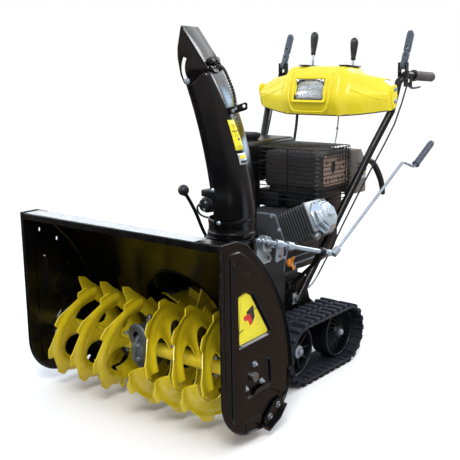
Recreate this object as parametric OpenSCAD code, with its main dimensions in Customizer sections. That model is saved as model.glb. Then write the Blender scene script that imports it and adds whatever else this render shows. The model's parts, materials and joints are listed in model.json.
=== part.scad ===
// Two stage snowblower on rubber tracks.
// X runs across the machine, Y from the intake to the operator, Z up from the ground.
// Lengths along Y are written from the intake mouth; here() moves them to the machine's middle.

/* [Overall] */
// Length from the auger teeth to the ends of the grips
overall_len = 1430; // [1400:5:1460]
// Width over the side plates of the housing
housing_w = 770; // [740:2:800]
// Height of the housing top above the ground
housing_h = 567; // [560:1:575]
// Sheet thickness of the housing
sheet = 3; // [2:0.5:4]

/* [Auger] */
// Radius at the tips of the auger teeth
auger_r = 157; // [150:0.5:158]
// Radius at the roots of the auger teeth
tooth_root_r = 141; // [136:0.5:146]
// Inner radius of the half-ring blades
ring_r = 102; // [96:1:110]
// Distance between auger blade stations
station_pitch = 100; // [96:1:102]
// Sideways lean of a blade, measured at its tip
blade_lean = 55; // [45:1:58]
// Radius of the auger shaft
shaft_r = 12.5; // [10:0.5:13]
// Radius of the auger hub tubes
hub_r = 21; // [18:0.5:24]

/* [Impeller and chute] */
// Inner radius of the impeller drum
drum_r = 155; // [152:0.5:156]
// Radius at the tips of the impeller blades
impeller_r = 150; // [140:0.5:151]
// Angle of the chute from straight ahead
chute_turn = 67; // [60:1:72]
// Radius of the notched ring under the chute
chute_ring_r = 83; // [80:0.5:84]
// Distance between the chute side walls, outside
chute_w = 150; // [144:1:152]

/* [Tracks] */
// Distance from the middle of the machine to the inner edge of a track
track_in = 148; // [147:1:152]
// Width of a track
track_w = 142; // [130:1:150]
// Radius of the track wheels where the band runs
wheel_r = 85; // [83:0.5:86]
// Thickness of the band without its lugs
band_t = 9; // [7:0.5:10]
// Height of the lugs on the band
lug_h = 10; // [8:0.5:11]

/* [Engine] */
// Lean of the cylinder above level
cyl_lean = 25; // [20:1:30]
// Number of cooling fins on the cylinder
fin_count = 9; // [6:1:10]
// Pitch of the muffler guard wires
guard_pitch = 14; // [12:0.5:16]

/* [Handlebar] */
// Radius of the handlebar tube
bar_r = 12.5; // [11:0.5:13]
// Distance from the middle to each grip
grip_x = 258; // [250:1:266]
// Outer radius of the grips
grip_r = 17.5; // [16:0.5:19]

/* [Hidden] */

$fn = 48;
mid_y = overall_len / 2 - 20;
fit = 0.05;
gap = 0.4;
side_x = housing_w / 2;

// Axes, as [y, z]
auger_at = [138, 187];
impeller_z = 235;
crank_z = 405;
front_wheel_at = [547, wheel_r + band_t + lug_h];
rear_wheel_at = [790, wheel_r + band_t + lug_h];
// Pivot of the chute, and of the deflector in the chute's own frame
chute_at = [100, 408, 484];
deflector_at = [50, 504];
slot_bolt = [108.5, 466.5];
slot_r = norm(slot_bolt - deflector_at);
slot_low = -39;
slot_high = 29;
// Ends of the worm shaft and the crank rod
worm_start = [199, 395, 487];
joint_at = [305, 660, 408];
rod_end = [340, 1040, 661];

black = "#141414";
yellow = "#e2cf2c";
zinc = "#b9bcc0";
casting = "#6d7176";
rubber = "#1e2022";
plastic = "#3d4653";

// ---------- helpers ----------

module here() translate([0, -mid_y, 0]) children();

module cyl_x(r, x0, x1, y, z) translate([x0, y, z]) rotate([0, 90, 0]) cylinder(r = r, h = x1 - x0);
module cyl_y(r, x, y0, y1, z) translate([x, y0, z]) rotate([-90, 0, 0]) cylinder(r = r, h = y1 - y0);
module cyl_z(r, x, y, z0, z1) translate([x, y, z0]) cylinder(r = r, h = z1 - z0);
module box(a, b) translate(a) cube(b - a);

// Puts a shape drawn in (y, z) on the plane x = x0 and gives it the thickness t along X
module plate_x(x0, t) translate([x0, 0, 0]) rotate([90, 0, 90]) linear_extrude(t) children();
// Puts a shape drawn in (x, z) on the plane y = y0 and gives it the thickness t along Y
module plate_y(y0, t) translate([0, y0 + t, 0]) rotate([90, 0, 0]) linear_extrude(t) children();

module rod(p, q, r) {
    d = q - p;
    len = norm(d);
    translate(p)
        rotate([0, acos(d[2] / len), atan2(d[1], d[0])])
            cylinder(r = r, h = len);
}

// A bent tube: straight lengths with a slightly larger ball at each inner corner
module bent_rod(pts, r) {
    for (i = [0 : len(pts) - 2]) rod(pts[i], pts[i + 1], r);
    for (i = [1 : 1 : len(pts) - 2]) translate(pts[i]) sphere(r = r * 1.03);
}

module both_sides() {
    children();
    mirror([1, 0, 0]) children();
}

module mirror_if(flip) {
    if (flip) mirror([1, 0, 0]) children();
    else children();
}

function arc(c, r, a0, a1, n) =
    [for (i = [0 : n]) let (a = a0 + (a1 - a0) * i / n) [c[0] + r * cos(a), c[1] + r * sin(a)]];

// A skin over cross-sections that have the same number of points, closed at both ends
module skin(sections) {
    n = len(sections[0]);
    m = len(sections);
    pts = [for (s = sections) for (p = s) p];
    sides = [for (j = [0 : m - 2]) for (i = [0 : n - 1])
        let (k = (i + 1) % n)
        for (t = [[j * n + i, (j + 1) * n + i, j * n + k], [j * n + k, (j + 1) * n + i, (j + 1) * n + k]]) t];
    b = (m - 1) * n;
    ends = [for (i = [0 : n / 2 - 2]) for (t = [[i, i + 1, n - 1 - i], [i + 1, n - 2 - i, n - 1 - i],
        [b + i, b + n - 1 - i, b + i + 1], [b + i + 1, b + n - 1 - i, b + n - 2 - i]]) t];
    polyhedron(points = pts, faces = concat(sides, ends));
}

function unit(v) = v / norm(v);

// A cable: eight-sided rings along its route, each square to the two lengths that meet there
module cable(pts, r) {
    n = len(pts);
    skin([for (i = [0 : n - 1])
        let (t = unit(pts[min(i + 1, n - 1)] - pts[max(i - 1, 0)]),
            e = unit(cross(t, [1, 0.2, 0])),
            f = cross(t, e))
        [for (a = [0 : 45 : 315]) pts[i] + r * (cos(a) * e + sin(a) * f)]]);
}

// Outline of a belt or chain round two pulleys, grown by g
module loop_2d(c1, r1, c2, r2, g) {
    a = atan2(c2[1] - c1[1], c2[0] - c1[0]);
    b = acos((r1 - r2) / norm(c2 - c1));
    polygon(concat(arc(c1, r1 + g, a + b, a + 360 - b, 40), arc(c2, r2 + g, a - b, a + b, 40)));
}

module hex_bolt(r, h) {
    cylinder(r = r, h = h * 0.4);
    cylinder(r = r * 0.8, h = h, $fn = 6);
}

// ---------- housing ----------

back_arc_c = [-196, 148];
back_arc_r = 501;
low_back_c = [171, 160];
low_front_c = [126, 163];
low_r = 126;
back_top_a = 54.6;

function side_outline(inset) = concat(
    [[inset, housing_h - inset], [60, housing_h - inset]],
    arc(back_arc_c, back_arc_r - inset, back_top_a, 2, 14),
    arc(low_back_c, low_r + 1 - inset, 0, -90, 10),
    arc(low_front_c, low_r - inset, -90, -180, 10));

// The wrap sheet's section: the top, the back and the lower back of the housing
wrap_end_a = -62;
function wrap_section() = concat(
    [[0, housing_h], [60, housing_h]],
    arc(back_arc_c, back_arc_r, back_top_a, 2, 24),
    arc(low_back_c, low_r + 1, 0, wrap_end_a, 8),
    arc(low_back_c, low_r + 1 - sheet, wrap_end_a, 0, 8),
    arc(back_arc_c, back_arc_r - sheet, 2, back_top_a, 24),
    [[59, housing_h - sheet], [0, housing_h - sheet]]);

bearing_bolts = [[141, 227], [172, 167], [102, 168]];
cutter_holes = [[62, 506], [127, 466]];
shoe_bolts = [[196, 56], [232, 78]];

module side_plate() difference() {
    union() {
        plate_x(side_x - sheet, sheet) polygon(side_outline(0));
        // rolled lip round the edge
        plate_x(side_x, 5) difference() {
            polygon(side_outline(0));
            polygon(side_outline(3));
            translate([-1, 80]) square([30, 60]);
        }
        // pressed ledge under the panel and pressed pad round the bearing
        plate_x(side_x, 3) polygon([[66, 290], [78, 270], [224, 284], [226, 297], [204, 290], [78, 278]]);
        plate_x(side_x, 3) polygon([[30, 540], [46, 548], [75, 549], [75, 541], [50, 540], [36, 530]]);
        plate_x(side_x, 3) polygon([[92, 76], [162, 79], [162, 86], [92, 83]]);
    }
    for (p = concat(bearing_bolts, cutter_holes, shoe_bolts))
        cyl_x(4.2, side_x - 10, side_x + 10, p[0], p[1]);
    cyl_x(22, side_x - 10, side_x + 10, auger_at[0], auger_at[1]);
}

module housing() here() color(black) {
    side_plate();
    mirror([1, 0, 0]) side_plate();
    difference() {
        plate_x(-side_x + sheet, housing_w - 2 * sheet) polygon(wrap_section());
        cyl_y(drum_r, 0, 200, 340, impeller_z);
    }
}

scraper_pts = [[262, 70], [224, 34], [206, 21], [203, 25], [221, 38.5], [259, 74.5]];
module scraper_bar() here() color(black)
    plate_x(-side_x + 6, housing_w - 12) polygon([for (p = scraper_pts) p + [3, -3.5]]);

module skid_shoes() here() color(black) both_sides() difference() {
    union() {
        plate_x(side_x + 5 + gap, 5)
            polygon([[168, 50], [178, 27], [230, 46], [258, 74], [256, 96], [218, 92]]);
        plate_x(side_x + 5 + gap, 15) polygon([[160, 40], [178, 22], [182, 22], [232, 42], [262, 72], [258, 76],
            [229, 47], [181, 28], [163, 45]]);
        for (p = shoe_bolts) cyl_x(7, side_x + 9, side_x + 14, p[0], p[1]);
    }
}

module auger_bearings() here() color(zinc) both_sides() difference() {
    union() {
        cyl_x(21, side_x - 14, side_x + 3, auger_at[0], auger_at[1]);
        plate_x(side_x + 0.1, 4) polygon([for (p = bearing_bolts)
            let (d = p - auger_at) auger_at + d * ((norm(d) + 14) / norm(d))]);
        for (p = bearing_bolts) {
            cyl_x(4, side_x - 8, side_x + 8, p[0], p[1]);
            translate([side_x + 4, p[0], p[1]]) rotate([0, 90, 0]) hex_bolt(9, 7);
        }
    }
    cyl_x(shaft_r + fit, side_x - 20, side_x + 20, auger_at[0], auger_at[1]);
}

// ---------- auger ----------

case_w = 72;
module gearbox_case() here() color(casting) difference() {
    union() {
        cyl_x(60, -30, 30, auger_at[0], auger_at[1]);
        cyl_x(28, -case_w / 2, case_w / 2, auger_at[0], auger_at[1]);
        cyl_x(67, -4, 4, auger_at[0], auger_at[1]);
        cyl_y(30, 0, 84, 216, impeller_z);
        cyl_y(36, 0, 84, 92, impeller_z);
        cyl_y(35, 0, 206, 216, impeller_z);
        cyl_z(9, 0, 140, 262, 284);
        for (a = [-150 : 40 : 50]) translate([4, auger_at[0] + 62 * cos(a), auger_at[1] + 62 * sin(a)])
            rotate([0, 90, 0]) cylinder(r = 6, h = 10);
    }
    cyl_x(50, -22, 22, auger_at[0], auger_at[1]);
    cyl_y(19, 0, 96, 204, impeller_z);
    cyl_x(shaft_r + fit, -60, 60, auger_at[0], auger_at[1]);
    cyl_y(shaft_r + fit, 0, 150, 240, impeller_z);
}

worm_wheel_r = 34.6;
hub_start = case_w / 2 + 2;
hub_end = side_x - 17;
bolt_xs = [138, 238];

module auger_shaft() here() color(zinc) {
    difference() {
        cyl_x(shaft_r, -side_x - 6, side_x + 6, auger_at[0], auger_at[1]);
        for (s = [-1, 1]) for (x = bolt_xs)
            cyl_z(4 + fit, s * x, auger_at[0], auger_at[1] - 30, auger_at[1] + 30);
    }
    // worm wheel, keyed to the shaft inside the case
    difference() {
        cyl_x(worm_wheel_r, -10, 10, auger_at[0], auger_at[1]);
        for (a = [0 : 15 : 345]) translate([0, auger_at[0], auger_at[1]]) rotate([a, 0, 0])
            translate([0, 0, worm_wheel_r]) rotate([0, 90, 0]) cylinder(r = 2.6, h = 30, center = true);
    }
}

module auger_hubs() here() color(yellow) both_sides() difference() {
    cyl_x(hub_r, hub_start, hub_end, auger_at[0], auger_at[1]);
    cyl_x(shaft_r + fit, 0, side_x, auger_at[0], auger_at[1]);
    for (x = bolt_xs) cyl_z(4 + fit, x, auger_at[0], auger_at[1] - 30, auger_at[1] + 30);
}

module shear_bolts() here() color(zinc) for (s = [-1, 1]) for (x = bolt_xs)
    translate([s * x, auger_at[0], auger_at[1]]) {
        translate([0, 0, -hub_r - 8]) cylinder(r = 4, h = 2 * hub_r + 14);
        translate([0, 0, hub_r + gap]) cylinder(r = 7, h = 6, $fn = 6);
        translate([0, 0, -hub_r - 7 - gap]) cylinder(r = 7, h = 7, $fn = 6);
    }

// Half-ring blade: hooked teeth round the outside, one spoke from the ring to the hub tube.
// The blade lies in a plane that leans by lean_a, so one end is nearer the middle.
lean_a = atan(blade_lean / auger_r);
lean_phase = 27;
tooth_a = 43;
tooth_rise = 4;
tooth_flat = 12;
tooth_fall = 21.5;
spoke_half = 15;
foot_r = hub_r + 2 * gap;
blade_t = 4;

// A half ring runs from angle ends[0] to ends[1], and one of its teeth rises at the angle first
function tooth_edge(ends, first) = [for (k = [-3 : 1]) let (a = first + k * tooth_a)
    if (a - tooth_rise > ends[0] && a + tooth_fall < ends[1])
        for (p = [[tooth_root_r, -tooth_rise], [auger_r, 0], [auger_r - 1, tooth_flat],
            [tooth_root_r + 4, tooth_fall]])
            [p[0], a + p[1]]];
function spoke_edge(s) = [[ring_r, s * (spoke_half + 26)], [ring_r - 12, s * (spoke_half + 8)],
    [70, s * spoke_half], [45, s * 16], [foot_r + 4, s * 24], [foot_r, s * 30]];
function blade_polar(ends, first) = concat(
    [[tooth_root_r, ends[0]]],
    tooth_edge(ends, first),
    [[tooth_root_r, ends[1]]],
    [for (a = [ends[1] : -9 : spoke_half + 32]) [ring_r, a]],
    spoke_edge(1),
    [for (a = [20, 10, 0, -10, -20]) [foot_r, a]],
    [for (i = [5 : -1 : 0]) spoke_edge(-1)[i]],
    [for (a = [-spoke_half - 35 : -9 : ends[0]]) [ring_r, a]],
    [[ring_r, ends[0]]]);

// One blade on side s, its station at distance c from the middle, its spoke turned up by turn
module blade(s, c, turn, ends, first) {
    dir = 90 - lean_phase;
    translate([s * c, auger_at[0], auger_at[1]])
        rotate([90, 0, -90]) rotate([0, 0, turn + dir]) rotate([0, -s * lean_a, 0])
            linear_extrude(blade_t, center = true)
                polygon([for (p = blade_polar(ends, first))
                    [p[0] * cos(p[1] - dir) / cos(lean_a), p[0] * sin(p[1] - dir)]]);
}

left_station = 79;
right_station = 96;
left_turn = 15;
right_turn = 75;
left_ends = [-98, 77];
right_ends = [-85, 94];

module auger_blades_left() here() color(yellow) for (k = [0 : 2]) {
    blade(-1, left_station + station_pitch * k, left_turn, left_ends, 48);
    blade(-1, left_station + station_pitch * k, left_turn + 180, left_ends, 29);
}

module auger_blades_right() here() color(yellow) for (k = [0 : 2]) {
    blade(1, right_station + station_pitch * k, right_turn, right_ends, 48.5);
    blade(1, right_station + station_pitch * k, right_turn + 180, right_ends, 67);
}

// ---------- impeller ----------

drum_end = 480;
neck_r = 69;

module drum_shell(r) {
    cyl_y(r, 0, 230, drum_end, impeller_z);
    // scroll outlet up to the chute
    translate([chute_at[0], chute_at[1], impeller_z])
        cylinder(r = r - drum_r + neck_r, h = chute_at[2] - impeller_z - 8);
}

module impeller_drum() here() color(black) {
    difference() {
        drum_shell(drum_r + sheet);
        cyl_y(drum_r, 0, 200, drum_end - sheet, impeller_z);
        translate([chute_at[0], chute_at[1], impeller_z]) cylinder(r = neck_r, h = 400);
        plate_x(-side_x, housing_w) polygon(side_outline(-gap));
        cyl_y(shaft_r + 8, 0, drum_end - 10, drum_end + 10, impeller_z);
    }
    // turned collar that the chute rides on
    difference() {
        union() {
            cyl_z(78, chute_at[0], chute_at[1], chute_at[2] - 9, chute_at[2] - 3);
            cyl_z(neck_r + sheet, chute_at[0], chute_at[1], chute_at[2] - 9, chute_at[2] + 8);
        }
        cyl_z(neck_r, chute_at[0], chute_at[1], chute_at[2] - 20, chute_at[2] + 20);
    }
    // bearing carrier on the rear wall
    difference() {
        union() {
            cyl_y(42, 0, drum_end, drum_end + 4, impeller_z);
            cyl_y(24, 0, drum_end, drum_end + 16, impeller_z);
        }
        cyl_y(shaft_r + fit, 0, drum_end - 1, drum_end + 20, impeller_z);
    }
}

module impeller_shaft() here() color(zinc) {
    cyl_y(shaft_r, 0, 152, 537, impeller_z);
    // worm in the gearbox
    cyl_y(shaft_r, 0, 100, 153, impeller_z);
    // auger pulley
    difference() {
        cyl_y(92, 0, 512, 532, impeller_z);
        translate([0, 522, impeller_z]) rotate([90, 0, 0]) rotate_extrude()
            polygon([[80, -4], [93, -8], [93, 8], [80, 4]]);
        for (a = [0 : 60 : 300]) translate([0, 505, impeller_z]) rotate([-90, a, 0])
            translate([50, 0, 0]) cylinder(r = 17, h = 40);
    }
}

blade_y = [338, 462];
module impeller() here() color(yellow) difference() {
    union() {
        cyl_y(26, 0, blade_y[0], blade_y[1], impeller_z);
        for (a = [20 : 90 : 290]) translate([0, 0, impeller_z]) rotate([0, a, 0]) {
            box([20, blade_y[0], -3], [impeller_r - 22, blade_y[1], 3]);
            translate([impeller_r - 24, 0, -3]) rotate([0, -22, 0])
                box([0, blade_y[0] + 4, 0], [24, blade_y[1], 5]);
            box([20, 400, -30], [90, 405, -2]);
        }
    }
    cyl_y(shaft_r + fit, 0, 300, 500, impeller_z);
}

// ---------- chute ----------

// Runs from the ring's middle: first coordinate to the discharge side, second across, third up
module chute_frame() translate(chute_at) rotate([0, 0, -90 - chute_turn]) children();

// Profiles of the back and of the front edges: arcs, as [u, v] centres and radii
back_edge_c = [925.7, 20];
back_edge_r = 1000;
front_edge_c = [1731, -60];
front_edge_r = 1700;
function back_edge(v) = back_edge_c[0] - sqrt(pow(back_edge_r, 2) - pow(v - back_edge_c[1], 2));
function front_edge(v) = front_edge_c[0] - sqrt(pow(front_edge_r, 2) - pow(v - front_edge_c[1], 2));
chute_top = 496;
chute_base = 30;
// The walls widen round the slot bolts and then slope back to the hinge
function wall_front(v) = v < 455 ? front_edge(v)
    : lookup(v, [[455, 111], [460, 114.5], [468, 115.5], [480, 109], [chute_top, deflector_at[0] + 18]]);
// Corner between the back and a side: nearly a half circle at the base, tight at the top
function corner_r(v) = 14 + 59 * pow(max(0, (400 - v) / (400 - chute_base)), 1.2);
// Half of the channel's section at height v, pushed in by g: the side's front edge round to the back
function half_section(v, g) = let (w = chute_w / 2 - g, b = back_edge(v) + g, r = corner_r(v) - g)
    concat([[wall_front(v), w]], [for (a = [90 : 15 : 180]) [b + r + r * cos(a), w - r + r * sin(a)]]);
function far_half(pts) = [for (i = [len(pts) - 1 : -1 : 0]) [pts[i][0], -pts[i][1]]];
function near_back(pts) = [for (i = [len(pts) - 1 : -1 : 0]) pts[i]];
function channel_section(v) = let (outer = half_section(v, 0), inner = half_section(v, sheet))
    [for (p = concat(outer, far_half(outer), near_back(far_half(inner)), near_back(inner))) [p[0], p[1], v]];
wall_steps = [chute_base, 60, 95, 130, 170, 210, 250, 290, 330, 370, 410, 450, 460, 468, 480, chute_top];

// Stands a shape drawn in (u, v) upright and gives it the thickness t across, from w0
module upright(w0, t) translate([0, w0 + t, 0]) rotate([90, 0, 0]) linear_extrude(t) children();

module chute() here() color(black) chute_frame() {
    // notched ring and base tube
    difference() {
        union() {
            translate([0, 0, -2]) cylinder(r = chute_ring_r, h = 4);
            translate([0, 0, -2]) cylinder(r = neck_r + 9, h = 62);
        }
        translate([0, 0, -9]) cylinder(r = neck_r + sheet + gap, h = 80);
        for (a = [0 : 9 : 351]) rotate([0, 0, a]) translate([chute_ring_r, 0, -10]) cylinder(r = 2.6, h = 20);
    }
    skin([for (v = wall_steps) channel_section(v)]);
    // closed front below the discharge opening
    upright(-chute_w / 2 + sheet, chute_w - 2 * sheet) polygon([[32, 34], [45, 172], [42, 172], [29, 34]]);
    // slot bolts for the deflector
    for (s = [-1, 1]) translate([slot_bolt[0], s * (chute_w / 2 + 3), slot_bolt[1]])
        rotate([90, 0, 0]) cylinder(r = 5, h = 12, center = true);
    // angle bracket that stops the cable
    translate([-46, -58, 388]) cube([43, 40, 4]);
    translate([-13, -58, 374]) cube([8, 40, 16]);
}

module deflector() here() color(black) chute_frame() {
    side = [[100, 459], [116, 457.5], [122, 467.5], [128, 485], [132, 504.5], [135.5, 532], [135.3, 560],
        [130, 596], [123.5, 623], [110, 603], [82, 556.5], [57, 511], [44, 505], [46, 497], [62, 489], [81, 476]];
    difference() {
        union() {
            for (w = [-chute_w / 2 - gap - sheet, chute_w / 2 + gap]) upright(w, sheet) polygon(side);
            upright(-chute_w / 2 - gap, chute_w + 2 * gap)
                polygon([[123.5, 623], [120.5, 623.5], [79, 557], [54, 514], [46, 506], [48, 501], [57, 508],
                    [82, 552], [111, 601]]);
            translate([deflector_at[0] - 6, 0, deflector_at[1] + 3]) rotate([90, 0, 0])
                cylinder(r = 5, h = 130, center = true);
        }
        // arc slots that run over the slot bolts
        upright(-chute_w, 2 * chute_w) difference() {
            translate(deflector_at) circle(r = slot_r + 5.6);
            translate(deflector_at) circle(r = slot_r - 5.6);
            polygon([deflector_at, deflector_at + 90 * [cos(slot_low), sin(slot_low)], [200, 300], [-60, 300],
                [-60, 640], [105, 640], deflector_at + 90 * [cos(slot_high), sin(slot_high)]]);
        }
    }
    // lug on the back with the round case of the cable's spring
    translate([66, -66, 526]) rotate([0, 29.2, 0]) translate([-8, 0, -20]) cube([8, 52, 40]);
    translate([62, -40, 524]) rotate([0, -90, 0]) cylinder(r = 12, h = 54);
}

module worm_bracket() here() color(zinc) {
    difference() {
        union() {
            // upright leaf on the neck, with a bearing eye for the worm shaft
            box([182, 428, 400], [186, 500, 492]);
            box([172 + gap, 400, 400], [186, 500, 404]);
            rod(worm_at(0.24), worm_at(0.32), 13);
            rod(worm_at(0.4), worm_at(0.44), 13);
            box([184, 452, 462], [226, 478, 470]);
            box([184, 488, 448], [236, 512, 456]);
            box([184, 452, 448], [190, 512, 470]);
            cyl_x(8, 186, 192, 470, 430);
            cyl_x(6, 186, 194, 488, 412);
        }
        rod(worm_at(0.1), worm_at(0.6), 7 + fit);
    }
}

function worm_at(t) = worm_start + t * (joint_at - worm_start);

// Shaft that turns the chute: wire worm, straight shaft, fork of the universal joint
module worm_shaft() here() color(zinc) {
    rod(worm_at(0), worm_at(0.94), 7);
    for (t = [0.02, 0.07, 0.12, 0.17]) rod(worm_at(t), worm_at(t + 0.02), 12);
    rod(worm_at(0.92), worm_at(0.95), 11);
}

module crank_bracket() here() color(black) {
    at = worm_at(0.84);
    difference() {
        union() {
            rod(worm_at(0.82), worm_at(0.86), 14);
            rod(at + [-6, 0, -8], [150, 650, 286], 7);
            box([142 + gap, 636, 268], [156, 666, 294]);
        }
        rod(worm_at(0.7), worm_at(0.95), 7 + fit);
    }
}

crank_dir = (rod_end - joint_at) / norm(rod_end - joint_at);
arm_end = [352, 1100, 638];
module crank_rod() here() color(zinc) {
    rod(joint_at - 4 * crank_dir, joint_at + 26 * crank_dir, 11);
    bent_rod([joint_at, rod_end, arm_end, arm_end + 138 * crank_dir], 5);
    rod(arm_end + 136 * crank_dir, arm_end + 139 * crank_dir, 8);
}

module crank_grip() here() color(plastic) difference() {
    union() {
        rod(arm_end + 14 * crank_dir, arm_end + 132 * crank_dir, 11.5);
        rod(arm_end + 12 * crank_dir, arm_end + 18 * crank_dir, 13.5);
    }
    rod(arm_end - 20 * crank_dir, arm_end + 150 * crank_dir, 5 + fit);
}

// ---------- belt drive ----------

auger_plane = 522;
drive_plane = 556;
drive_in_at = [-78, 250];
crank_at = [0, crank_z];
auger_in_at = [0, impeller_z];
pulley_big = 92;
pulley_small = 40;
pulley_drive = 52;

module v_pulley(c, y, r) difference() {
    cyl_y(r, c[0], y - 10, y + 10, c[1]);
    translate([c[0], y, c[1]]) rotate([90, 0, 0]) rotate_extrude()
        polygon([[r - 12, -4.6], [r + 1, -8.6], [r + 1, 8.6], [r - 12, 4.6]]);
}

module v_belt(y, c1, r1, c2, r2) plate_y(y - 4, 8) difference() {
    loop_2d(c1, r1 - 10, c2, r2 - 10, 8);
    loop_2d(c1, r1 - 10, c2, r2 - 10, 0);
}

module auger_belt() here() color(rubber) v_belt(auger_plane, auger_in_at, pulley_big, crank_at, pulley_small);
module drive_belt() here() color(rubber) v_belt(drive_plane, drive_in_at, pulley_drive, crank_at, pulley_small);

crank_r = 17;
// Crankshaft with both drive pulleys, the counterweights and the flywheel
module engine_pulley() here() color(zinc) {
    v_pulley(crank_at, auger_plane, pulley_small);
    v_pulley(crank_at, drive_plane, pulley_small);
    cyl_y(crank_r, 0, 504, 1000, crank_z);
    cyl_y(62, 0, 690, 708, crank_z);
    cyl_y(62, 0, 738, 756, crank_z);
    difference() {
        cyl_y(95, 0, 890, 915, crank_z);
        cyl_y(82, 0, 880, 900, crank_z);
    }
    for (a = [0 : 30 : 330]) translate([0, 0, crank_z]) rotate([0, a, 0]) box([50, 914, -2], [94, 940, 2]);
    cyl_y(52, 0, 914, 944, crank_z);
}

module drive_pulley() here() color(zinc) {
    v_pulley(drive_in_at, drive_plane, pulley_drive);
    cyl_y(shaft_r, drive_in_at[0], 540, 668, drive_in_at[1]);
}

// Idler arm that swings about a pin, with a flat pulley at its end
module idler(pin, at, y) {
    difference() {
        union() {
            cyl_y(22, at[0], y - 9, y + 9, at[1]);
            cyl_y(9, at[0], y + 8, y + 16, at[1]);
            cyl_y(12, pin[0], y + 11, y + 16, pin[1]);
            rod([pin[0], y + 13.5, pin[1]], [at[0], y + 13.5, at[1]], 5);
        }
        cyl_y(6 + fit, pin[0], y - 30, y + 40, pin[1]);
    }
}
auger_idler_pin = [132, 262];
auger_idler_at = [94, 338];
drive_idler_pin = [-150, 268];
drive_idler_at = [-116, 344];
module auger_idler() here() color(zinc) idler(auger_idler_pin, auger_idler_at, auger_plane);
module drive_idler() here() color(zinc) idler(drive_idler_pin, drive_idler_at, drive_plane);

cover_y = [500, 612];
function cover_outline(g) = concat(
    [[-172 + g, 232 + g], [150 - g, 232 + g], [150 - g, 330]],
    arc([40, 400], 62 - g, 20, 90, 6),
    arc([-50, 400], 62 - g, 90, 160, 6),
    [[-172 + g, 330]]);
module belt_cover() here() color(black) {
    difference() {
        plate_y(cover_y[0], cover_y[1] - cover_y[0]) polygon(cover_outline(0));
        plate_y(cover_y[0] + 3, cover_y[1] - cover_y[0] - 6) polygon(cover_outline(3));
        plate_y(cover_y[0] + 3, cover_y[1] - cover_y[0] - 6)
            polygon([[-160, 200], [140, 200], [140, 300], [-160, 300]]);
        cyl_y(110, 0, cover_y[0] - 5, cover_y[0] + 5, impeller_z);
        cyl_y(crank_r + 8, 0, cover_y[1] - 10, cover_y[1] + 10, crank_z);
        cyl_y(shaft_r + 6, drive_in_at[0], cover_y[1] - 10, cover_y[1] + 10, drive_in_at[1]);
    }
    // idler pins
    cyl_y(6, auger_idler_pin[0], auger_plane, cover_y[1] - 2, auger_idler_pin[1]);
    cyl_y(6, drive_idler_pin[0], drive_plane, cover_y[1] - 2, drive_idler_pin[1]);
}

// ---------- tractor ----------

frame_x = 142;
floor_z = 50;
frame_tail = 850;
module tractor_frame() here() color(black) {
    profile = [[483, 150], [483, 330], [496, 330], [498, 228], [614, 228], [616, 303], [738, 303],
        [771, 208], [frame_tail, 150], [frame_tail, floor_z], [510, floor_z]];
    for (s = [0, 1]) mirror([s, 0, 0]) difference() {
        union() {
            plate_x(frame_x - 4, 4) polygon(profile);
            cyl_x(22, frame_x - 12, frame_x + 2, rear_wheel_at[0], rear_wheel_at[1]);
            translate([frame_x, 684, 268]) rotate([0, 90, 0]) hex_bolt(9, 4.5);
        }
        cyl_x(shaft_r + fit, frame_x - 20, frame_x + 20, rear_wheel_at[0], rear_wheel_at[1]);
    }
    // engine deck, front plate, floor and rear plate
    box([-frame_x + 4, 616, 300], [frame_x - 4, 738, 303]);
    difference() {
        box([-frame_x + 4, 614, floor_z + 4], [frame_x - 4, 618, 303]);
        cyl_y(shaft_r + 6, drive_in_at[0], 600, 630, drive_in_at[1]);
    }
    difference() {
        box([-frame_x + 4, 483, 80], [frame_x - 4, 487, 330]);
        cyl_y(60, 0, 470, 495, impeller_z);
    }
    box([-frame_x + 4, 510, floor_z], [frame_x - 4, frame_tail, floor_z + 4]);
    box([-frame_x + 4, frame_tail - 4, floor_z + 4], [frame_x - 4, frame_tail, 150]);
}

chain_r = 36;
module transmission() here() color(casting) {
    difference() {
        union() {
            box([-118, 650, 190], [-38, 730, 292]);
            cyl_y(26, drive_in_at[0], 636, 650, drive_in_at[1]);
            cyl_x(30, -60, -28, 700, 225);
        }
        box([-112, 656, 196], [-44, 724, 286]);
        cyl_y(shaft_r + fit, drive_in_at[0], 630, 670, drive_in_at[1]);
    }
    // chain to the drive axle
    plate_x(-34, 8) difference() {
        loop_2d([700, 225], 24, rear_wheel_at, chain_r, 7);
        loop_2d([700, 225], 24, rear_wheel_at, chain_r, 0);
    }
    cyl_x(22, -28, -26, 700, 225);
}

// Outer faces of the wheels, set in from the band's edge, and of their hubs
wheel_face = track_in + track_w - 44;
hub_face = wheel_face + 4;
module track_wheel(at) {
    x0 = track_in + 16;
    x1 = wheel_face;
    difference() {
        union() {
            difference() {
                cyl_x(wheel_r, x0, x1, at[0], at[1]);
                cyl_x(wheel_r - 12, x0 - 1, x1 + 1, at[0], at[1]);
            }
            difference() {
                cyl_x(wheel_r - 10, x1 - 34, x1 - 28, at[0], at[1]);
                for (a = [0 : 36 : 324]) translate([x0, at[0], at[1]]) rotate([a, 0, 0])
                    translate([0, 0, 52]) rotate([0, 90, 0]) cylinder(r = 11, h = 200);
            }
            cyl_x(26, x0, hub_face - gap, at[0], at[1]);
            for (a = [0 : 36 : 324]) translate([0, at[0], at[1]]) rotate([a + 18, 0, 0])
                box([x1 - 30, -2, 24], [x1 - 6, 2, wheel_r - 10]);
        }
        cyl_x(shaft_r + fit, x0 - 10, x1 + 20, at[0], at[1]);
    }
}

module axle_nut(at) translate([hub_face, at[0], at[1]]) rotate([0, 90, 0]) hex_bolt(15, 11);

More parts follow.
